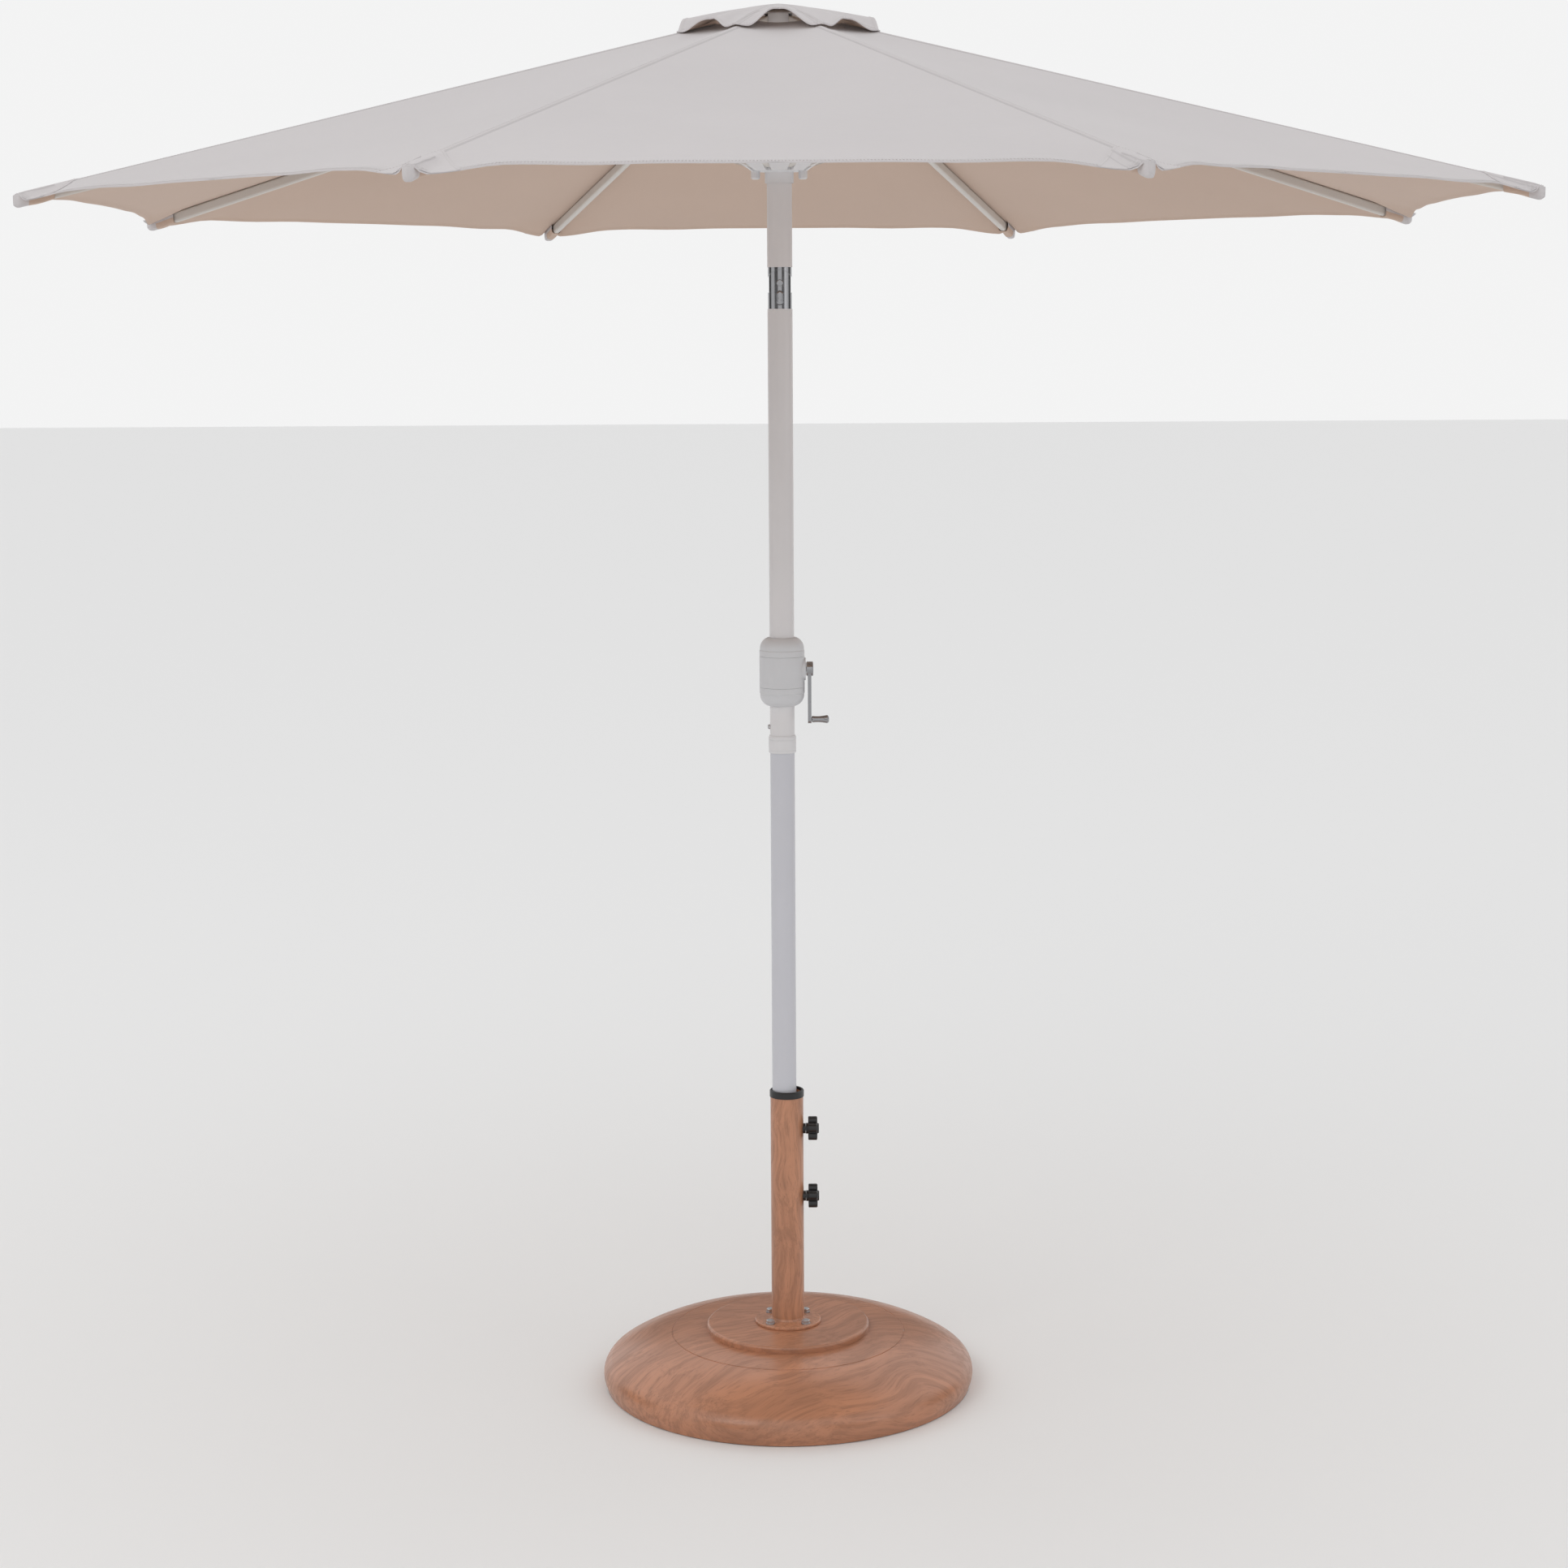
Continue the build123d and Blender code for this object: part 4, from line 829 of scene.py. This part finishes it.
@dataclass
class Canopy:
    """The eight cloth pieces, each two half-gores sewn together over one rib."""

    form: CanopyForm
    stitching: Stitching
    keep: float = 0.115  # a piece's width when the umbrella is shut, as a share of its width when open
    columns: int = 26  # from the seam to the gore's middle
    rows: int = 64
    pocket_length: float = 0.058
    pocket_reach: float = 0.0025  # beyond the cloth's corner
    pocket_half: float = 0.0112
    pocket_taper: float = 0.0025
    pocket_depth: float = 0.0222
    nose_from: float = 0.84  # share of the pocket's length where its nose starts to pinch
    patch_depth: float = 0.095
    patch_from: float = 0.008  # from the corner
    edge_step: float = 0.0008  # the slope at the edge of a doubled band
    clear: float = 0.006  # between a line of stitches and the edge that it follows

    def build(self) -> None:
        """Make and attach every piece of the canopy."""
        for number in range(1, RIBS + 1):
            cloth = self.cloth(number)
            extras = [self.patch(number), self.pocket(number), self.stitches(number)]
            for piece in (cloth, *extras):
                self.fold(piece, number)
            self.declare(cloth, extras, number)
            LOG.info("canopy piece %d: %d faces", number, len(cloth.data.polygons))

    def fold(self, piece: Piece, number: int) -> None:
        """Let a piece ride its rib, with a mesh of its own, and hide the CAD canopy.

        Args:
            piece: the piece.
            number: the rib's number.
        """
        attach(piece, f"rib_{number}_body")
        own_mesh(piece)
        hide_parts("canopy")

    def declare(self, cloth: Piece, extras: Sequence[Piece], number: int) -> None:
        """Take a cloth piece and its small pieces, and do nothing with them.

        Args:
            cloth: the cloth piece, which is not used.
            extras: the small pieces sewn to it, which are not used.
            number: the rib's number, which is not used.
        """

    def across_steps(self, half: float) -> list[float]:
        """Distances from the seam to the gore's middle, with a sharp step at the seam's edge.

        Args:
            half: from the seam to the gore's middle.

        Returns:
            The steps, in order.
        """
        seam = self.form.seam_half
        steps = [0.0, seam * 0.55, seam * 0.9, seam, seam + self.edge_step]
        rest, last = self.columns - len(steps), steps[-1]
        return steps + [last + (half - last) * (i / rest) ** 1.7 for i in range(1, rest + 1)]

    def down_steps(self) -> list[float]:
        """Shares of the way from the vent hole to the hem, with the hem's band resolved.

        Returns:
            The steps, in order.
        """
        length = self.form.corner_r - self.form.hole_r
        band, step = self.form.hem_band / length, self.edge_step / length
        edges = [0.0, step, band, band + step]
        middle = [band + step + (1 - 2 * (band + step)) * i / self.rows for i in range(1, self.rows)]
        return edges + middle + [1 - band - step, 1 - band, 1 - step, 1.0]

    def cloth(self, number: int) -> Piece:
        """Make one cloth piece.

        Args:
            number: the rib's number.

        Returns:
            The new piece.
        """
        form = self.form
        rows: list[list[Knot]] = []
        for down in self.down_steps():
            radius = form.hole_r + down * (form.corner_r - form.hole_r)
            steps = self.across_steps(half_chord(radius))
            row: list[Knot] = []
            for side, step in [(-1, s) for s in reversed(steps)] + [(1, s) for s in steps[1:]]:
                corner = form.hole_r + down * (form.hem_radius(step / steps[-1]) - form.hole_r)
                scaled = step * corner / radius if step > form.seam_half + 0.001 else step
                x, y = corner - scaled * math.tan(HALF_GORE), side * scaled
                rise = self.rise(down, step)
                row.append((form.point(x, y, number, rise),
                            form.point(x, y, number, -form.thickness - rise * 0.5),
                            (y, corner * math.hypot(1.0, form.slope))))
            rows.append(row)
        return ThinSheet(f"canopy_piece_{number}", rows).build()

    def rise(self, down: float, step: float) -> float:
        """How far the folded hem and the felled seam stand above the single cloth.

        Args:
            down: the share of the way from the vent hole to the hem.
            step: the distance from the seam.

        Returns:
            The distance in metres.
        """
        length = self.form.corner_r - self.form.hole_r
        band = self.form.hem_band / length
        folded = down < band * 1.001 or down > 1 - band * 1.001
        sewn = step <= self.form.seam_half
        return self.form.band_rise * max(float(folded), float(sewn))

    def patch(self, number: int) -> Piece:
        """Make the kite-shaped reinforcement on top of a corner.

        Args:
            number: the rib's number.

        Returns:
            The new piece.
        """
        form = self.form
        rows, columns = 14, 16
        grid: list[list[Knot]] = []
        for row in range(rows + 1):
            drop = self.patch_from + (self.patch_depth - self.patch_from) * row / rows
            half = min(drop / math.tan(HALF_GORE) - self.clear, (self.patch_depth - drop) * 0.95 + 0.002)
            knots: list[Knot] = []
            for column in range(columns, -1, -1):
                x, y = form.corner_r - drop, half * (2 * column / columns - 1)
                edge = row in (0, rows) or column in (0, columns)
                knots.append((form.point(x, y, number, form.band_rise + (0.0004 if edge else 0.0010)),
                              form.point(x, y, number, form.band_rise * 0.2), (y + 0.02, x)))
            grid.append(knots)
        return ThinSheet(f"corner_patch_{number}", grid, (CLOTH_OUT_WITH_PAINTED_SKYLIGHT, CLOTH_OUT_WITH_PAINTED_SKYLIGHT)).build()

    def pocket(self, number: int) -> Piece:
        """Make the folded pocket that holds a rib's end, as a sleeve with a pinched nose.

        Args:
            number: the rib's number.

        Returns:
            The new piece.
        """
        form = self.form
        rows, around = 22, 20
        points: list[Point] = []
        uvs: list[tuple[float, float]] = []
        for row in range(rows + 1):
            t = row / rows
            x = form.corner_r - self.pocket_length + t * (self.pocket_length + self.pocket_reach)
            nose = max(0.0, (t - self.nose_from) / (1 - self.nose_from))
            half = (self.pocket_half - self.pocket_taper * t) * (1 - 0.45 * nose ** 2)
            half += 0.0005 * math.sin(11 * t + number)
            depth = (self.pocket_depth + 0.0006 * math.sin(8 * t + number)) * (1 - 0.34 * nose ** 2)
            top = form.hem_z + (form.corner_r - x) * form.slope + 0.0005 - 0.0015 * nose ** 2
            for column in range(around + 1):
                turn = math.pi * column / around
                pinch = 1 - 0.16 * math.sin(turn) ** 6 * math.sin(5 * turn + 4 * t + number)
                y = half * pinch * math.copysign(abs(math.cos(turn)) ** 0.5, math.cos(turn))
                points.append(turned(x, y, top - depth * math.sin(turn) ** 0.5, number))
                uvs.append((0.03 + turn * half, x))
        wide = around + 1
        faces = [(row * wide + c, row * wide + c + 1, (row + 1) * wide + c + 1, (row + 1) * wide + c)
                 for row in range(rows) for c in range(around)]
        lid = [(row * wide, (row + 1) * wide, (row + 1) * wide + around, row * wide + around)
               for row in range(rows) if row >= int(rows * 0.86)]
        last = rows * wide
        nose_face = tuple(range(last, last + wide))
        # The sleeve's underside takes the inner cloth colour, whose warm tan partly paints light shining
        # through the cloth.
        under = [int(row < 0.62 * rows and abs(2 * c + 1 - around) < 0.8 * around)
                 for row in range(rows) for c in range(around)]
        slots = under + [0] * (len(lid) + 1)
        made = mesh_object(f"tip_pocket_{number}", points, [*faces, *lid, nose_face],
                           (CLOTH_OUT_WITH_PAINTED_SKYLIGHT, CLOTH_IN_WITH_PAINTED_BACKLIGHT), slots, uvs)
        wall = made.modifiers.new("cloth", "SOLIDIFY")
        wall.thickness = form.thickness
        wall.offset = 1.0
        return applied(made)

    def stitches(self, number: int) -> Piece:
        """Sew one piece's seam, hems and patch.

        Args:
            number: the rib's number.

        Returns:
            The new piece.
        """
        form = self.form
        lift = form.band_rise + 0.0002
        length = form.corner_r - form.hole_r
        seam = [form.hole_r + 0.012 + (length - 0.108) * i / 60 for i in range(61)]
        lines = [[form.point(x, offset, number, lift) for x in seam] for offset in (-0.0040, 0.0040)]
        shares = [i / 40 for i in range(41)]
        for side in (-1, 1):
            for inset in (0.0068, 0.0032):
                hem = []
                for share in shares:
                    corner = form.hem_radius(share) - inset
                    y = half_chord(side * share * corner)
                    hem.append(form.point(corner - abs(y) * math.tan(HALF_GORE), y, number, lift))
                lines.append(hem)
            corner = form.hole_r + self.clear
            half = half_chord(corner)
            lines.append([form.point(corner - half * s * math.tan(HALF_GORE), side * half * s, number, lift)
                          for s in shares[::4]])
            start, widest = self.patch_depth - self.clear, 0.028
            kite = []
            for i in range(21):
                drop = start - (start - widest) * i / 20
                y = side * max(0.0, (self.patch_depth - drop) * 0.95 - 0.004)
                kite.append(form.point(form.corner_r - drop, y, number, form.band_rise + 0.0011))
            lines.append(kite)
        return self.stitching.sew(f"canopy_stitching_{number}", lines)


# ------------------------------------------------------------------ vent cap
@dataclass
class VentCap:
    """The loose top cloth, tied down at the ribs and arched between them."""

    canopy: CanopyForm
    stitching: Stitching
    top_z: float
    hem_r: float
    crown_r: float = 0.036
    collar_r: float = 0.078
    lift: float = 0.026  # of an arch above the tied corners
    thickness: float = 0.0011
    keep: float = 0.36  # a skirt's width when the umbrella is shut, as a share of its width when open
    seed: int = 11
    hem_inset: float = 0.0065
    seam_beside: float = 0.005  # of the seam's stitches beside a rib, before the half chord narrows it

    @classmethod
    def from_frame(cls, canopy: CanopyForm, stitching: Stitching) -> VentCap:
        """Read the driving sizes from the CAD vent."""
        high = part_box("vent_canopy")[1]
        return cls(canopy, stitching, top_z=high.z, hem_r=high.x / math.cos(HALF_GORE))

    def __post_init__(self) -> None:
        """Give each gore its own arch and each corner its own droop."""
        chance = random.Random(self.seed)
        self.arches = [self.lift * (0.98 if gore % 2 else 0.58) * chance.uniform(0.9, 1.1)
                       for gore in range(RIBS)]
        self.leans = [chance.uniform(-0.5, 0.5) for _ in range(RIBS)]

    def surface(self, radial: float, across: float, number: int, lift: float = 0.0) -> Point:
        """A place on the vent cloth.

        Args:
            radial: 0 at the apex, 1 at the hem.
            across: -1 to 1, from one gore's middle to the next, with the rib at 0.
            number: the rib's number.
            lift: an offset above the cloth's outer face.

        Returns:
            The place in the row frame.
        """
        side = 0 if across < 0 else 1
        gore = (number - 2 + side) % RIBS
        share = abs(across)
        narrow = 0.22 + 0.20 * self.leans[gore] * math.copysign(1.0, across)
        arch = self.arches[gore] * smooth_step(narrow, 0.92, share)
        seat = self.canopy.hem_z + (self.canopy.corner_r - self.hem_r) * self.canopy.slope
        fall = self.top_z - (seat + 0.0042)
        bulge = 0.0040 * math.sin(math.pi * radial) * (0.4 + share)
        wave = math.sin(7.0 * radial + 9.0 * self.leans[gore] + 5.0 * share)
        crumple = 0.0034 * wave * 4 * share * (1 - share) ** 2 * smooth_step(0.2, 0.7, radial)
        radius = self.hem_r * radial * (1 - 0.075 * share ** 2 * radial)
        z = self.top_z - fall * radial ** 1.08 + arch * radial ** 1.7 + bulge + crumple
        droop = 0.0035 * self.leans[number - 1] * radial ** 3 * (1 - share) ** 2
        y = half_chord(across * radius)
        return turned(radius - abs(y) * math.tan(HALF_GORE), y, z + droop + lift, number)

    def band(self, name: str, number: int, start: float, stop: float, rows: int,
             hemmed: bool = False) -> Piece:
        """Make the stretch of vent cloth between two radii over one rib.

        Args:
            name: the new piece's name.
            number: the rib's number.
            start: its inner radius.
            stop: its outer radius.
            rows: its number of rows.
            hemmed: whether its outer edge is folded.

        Returns:
            The new piece.
        """
        grid: list[list[Knot]] = []
        columns = 40
        for row in range(rows + 1):
            radius = start + (stop - start) * row / rows
            radial = radius / self.hem_r
            rise = 0.0006 if hemmed and radius > stop - 0.008 else 0.0
            spots = [2 * column / columns - 1 for column in range(columns + 1)]
            grid.append([(self.surface(radial, across, number, rise),
                          self.surface(radial, across, number, -self.thickness - rise * 0.5),
                          (across * radius * math.sin(HALF_GORE), radius)) for across in spots])
        return ThinSheet(name, grid).build()

    def crown(self) -> Piece:
        """Make the small eight-sided middle that stays on the hub.

        Returns:
            The new piece.
        """
        steps, rows = 10, 6
        grid: list[list[Knot]] = []
        for row in range(rows + 1):
            radial = max(0.02, row / rows) * self.crown_r / self.hem_r
            ring = [(self.surface(radial, 2 * step / steps - 1, number),
                     self.surface(radial, 2 * step / steps - 1, number, -self.thickness),
                     (0.03 + 0.01 * step, radial))
                    for number in range(1, RIBS + 1) for step in range(steps)]
            grid.append(ring + ring[:1])
        made = ThinSheet("vent_crown", grid).build()
        weld = made.modifiers.new("weld", "WELD")
        weld.merge_threshold = 0.00002
        return applied(made)

    def build(self) -> None:
        """Make every piece of the vent cap, and attach the crown, the skirts and their stitches."""
        crown = self.crown()
        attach(crown, "head")
        self.declare(crown, 2 * self.crown_r, 2 * self.crown_r, "hub_cap", [])
        for number in range(1, RIBS + 1):
            collar = self.band(f"vent_collar_{number}", number, self.crown_r, self.collar_r, 12)
            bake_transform(collar)
            skirt = self.band(f"vent_skirt_{number}", number, self.collar_r, self.hem_r, 40, hemmed=True)
            hem = [self.surface((self.hem_r - self.hem_inset) / self.hem_r, i / 24 - 1, number, 0.0008)
                   for i in range(49)]
            radii = [self.collar_r + 0.004 + 0.0038 * i for i in range(25)]
            seam = [[self.surface(radius / self.hem_r, side * self.seam_beside / radius, number, 0.0006)
                     for radius in radii] for side in (-1, 1)]
            thread = self.stitching.sew(f"vent_stitching_{number}", [hem, *seam])
            for piece in (skirt, thread):
                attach(piece, f"rib_{number}_body")
                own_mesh(piece)
            self.declare(collar, 2 * self.collar_r * math.sin(HALF_GORE), self.collar_r - self.crown_r,
                         "hub_cap", [])
            self.declare(skirt, 2 * self.hem_r * math.sin(HALF_GORE), self.hem_r - self.collar_r,
                         f"rib_{number}", [thread])
            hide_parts("vent_canopy")
        LOG.info("vent cap: crown, %d collars and %d skirts", RIBS, RIBS)

    def declare(self, piece: Piece, width: float, length: float, rest: str,
                extras: Iterable[Piece]) -> None:
        """Hide the CAD vent canopy.

        Args:
            piece: the piece, which is not used.
            width: its flat width, which is not used.
            length: its flat length, which is not used.
            rest: the node that it rests on, which is not used.
            extras: the small pieces sewn to it, which are not used.
        """
        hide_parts("vent_canopy")


# ------------------------------------------------------------------ hardware
@dataclass
class Hardware:
    """The rigid pieces, which keep their CAD shape and get their finishes here."""

    nodes: dict[str, Piece]
    finishes: tuple[tuple[Finish, str], ...] = (
        (BASE_WOOD, "base_shell"), (TUBE_WOOD, "pole_holder"), (CONCRETE, "base_ballast"),
        (RUBBER, "base_feet"), (LOWER_PAINT, "lower_pole"), (UPPER_PAINT, "mid_pole upper_pole"),
        (BLACK_PLASTIC, "knob_nuts base_bottom_plate holder_rim knob_upper knob_lower pole_foot_plug"),
        (ZINC, "holder_bolts knob_upper_stud knob_lower_stud snap_button housing_screws crank_shaft"
               " tilt_spring hub_ring_wire pulley_pin runner_ring_wire"),
        (LIGHT_PLASTIC, "pole_collar top_hub hub_cap pulley runner runner_plugs"),
        (HOUSING_PLASTIC, "housing_upper_cap housing_barrel housing_lower_cap crank_bush"),
        (CHROME, "crank_arm crank_grip tilt_lower_joint tilt_upper_joint tilt_pin tilt_button"),
    )

    def dress(self) -> None:
        """Put each node's finish on it."""
        arms = " ".join(f"rib_{number} stretcher_{number}" for number in range(1, RIBS + 1))
        pairs = [(finish, name) for finish, names in (*self.finishes, (RIB_PAINT, arms))
                 for name in names.split()]
        for finish, name in pairs:
            for place in self.nodes[name].material_slots:
                place.material = finish.material()
        LOG.info("hardware: %d nodes dressed", len(pairs))


# ------------------------------------------------------------------ studio
@dataclass
class Studio:
    """A pale floor, soft light and the camera."""

    distance: float = 5.0
    eye: float = 1.827
    aside: float = 0.0023
    pitch: float = math.radians(8.604)
    roll: float = math.radians(-0.32)
    lens: float = 67.43
    floor_half: float = 60.0
    ambient: float = 0.98
    backdrop: float = 0.90
    screens: int = 5
    screen_shade: float = 0.88

    def camera(self) -> None:
        """Place the camera and make it the scene's own."""
        data = bpy.data.cameras.new("camera")
        data.lens = self.lens
        data.sensor_width = 36.0
        data.clip_end = 300.0
        made = bpy.data.objects.new("camera", data)
        turn = Matrix.Rotation(math.pi / 2 - self.pitch, 4, "X") @ Matrix.Rotation(self.roll, 4, "Z")
        made.matrix_world = Matrix.Translation((self.aside, -self.distance, self.eye)) @ turn
        bpy.context.scene.collection.objects.link(made)
        bpy.context.scene.camera = made

    def floor(self) -> None:
        """Lay the floor."""
        h = self.floor_half
        corners = [(-h, -h, 0.0), (h, -h, 0.0), (h, h, 0.0), (-h, h, 0.0)]
        made = mesh_object("floor", corners, [(0, 1, 2, 3)], (FLOOR,), smooth=False)

    def light(self, name: str, place: Point, aim: Point, size: float, power: float,
              colour: Colour = (1.0, 1.0, 1.0)) -> None:
        """Hang one soft square light.

        Args:
            name: the light's name.
            place: where it hangs.
            aim: the point that it faces.
            size: its side.
            power: its power in watts.
            colour: its colour.
        """
        data = bpy.data.lights.new(name, "AREA")
        data.shape = "SQUARE"
        data.size = size
        data.energy = power
        data.color = colour
        made = bpy.data.objects.new(name, data)
        made.location = place
        direction = Vector(aim) - Vector(place)
        made.rotation_euler = direction.to_track_quat("-Z", "Y").to_euler()
        bpy.context.scene.collection.objects.link(made)

    def surroundings(self) -> bpy.types.World:
        """Make the even white room, with grey upright screens that bare metal reflects.

        Returns:
            The world.
        """
        world = bpy.data.worlds.new("world")
        world.use_nodes = True
        n = Nodes(world.node_tree)
        x, y, z = n.give(n.add("ShaderNodeSeparateXYZ"),
                         Vector=n.add("ShaderNodeTexCoord").outputs["Generated"]).outputs
        turns = n.times(n.math("ARCTAN2", y, x), float(self.screens))
        stripes = n.ramp(n.math("SINE", turns), -0.20, 0.45)
        level = n.math("SUBTRACT", 1.0, n.ramp(n.math("ABSOLUTE", z), 0.25, 0.6))
        shade = n.times(n.times(stripes, level), self.screen_shade)
        strength = n.times(n.math("SUBTRACT", 1.0, shade), self.ambient)
        seen = n.add("ShaderNodeLightPath").outputs["Is Camera Ray"]
        indirect = n.times(n.math("SUBTRACT", 1.0, seen), strength)
        n.give(world.node_tree.nodes["Background"], Color=(1.0, 1.0, 1.0, 1.0),
               Strength=n.math("ADD", n.times(seen, self.backdrop), indirect))
        return world

    def build(self) -> None:
        """Set up the floor, the world, the lights and the camera."""
        scene = bpy.context.scene
        scene.view_settings.view_transform = "Standard"
        scene.world = self.surroundings()
        self.floor()
        self.light("key", (-3.4, -4.6, 4.6), (0.0, 0.0, 1.3), 2.6, 46.0, (1.0, 0.98, 0.95))
        self.light("fill", (4.4, -3.4, 2.2), (0.0, 0.0, 0.9), 2.4, 12.0)
        self.camera()


def main() -> None:
    """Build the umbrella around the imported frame."""
    logging.basicConfig(level=logging.INFO, format="%(name)s: %(message)s")
    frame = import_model()
    Studio().build()
    Hardware(frame["nodes"]).dress()
    stitching = Stitching()
    form = CanopyForm.from_frame()
    Canopy(form, stitching).build()
    VentCap.from_frame(form, stitching).build()


if __name__ == "__main__":
    main()
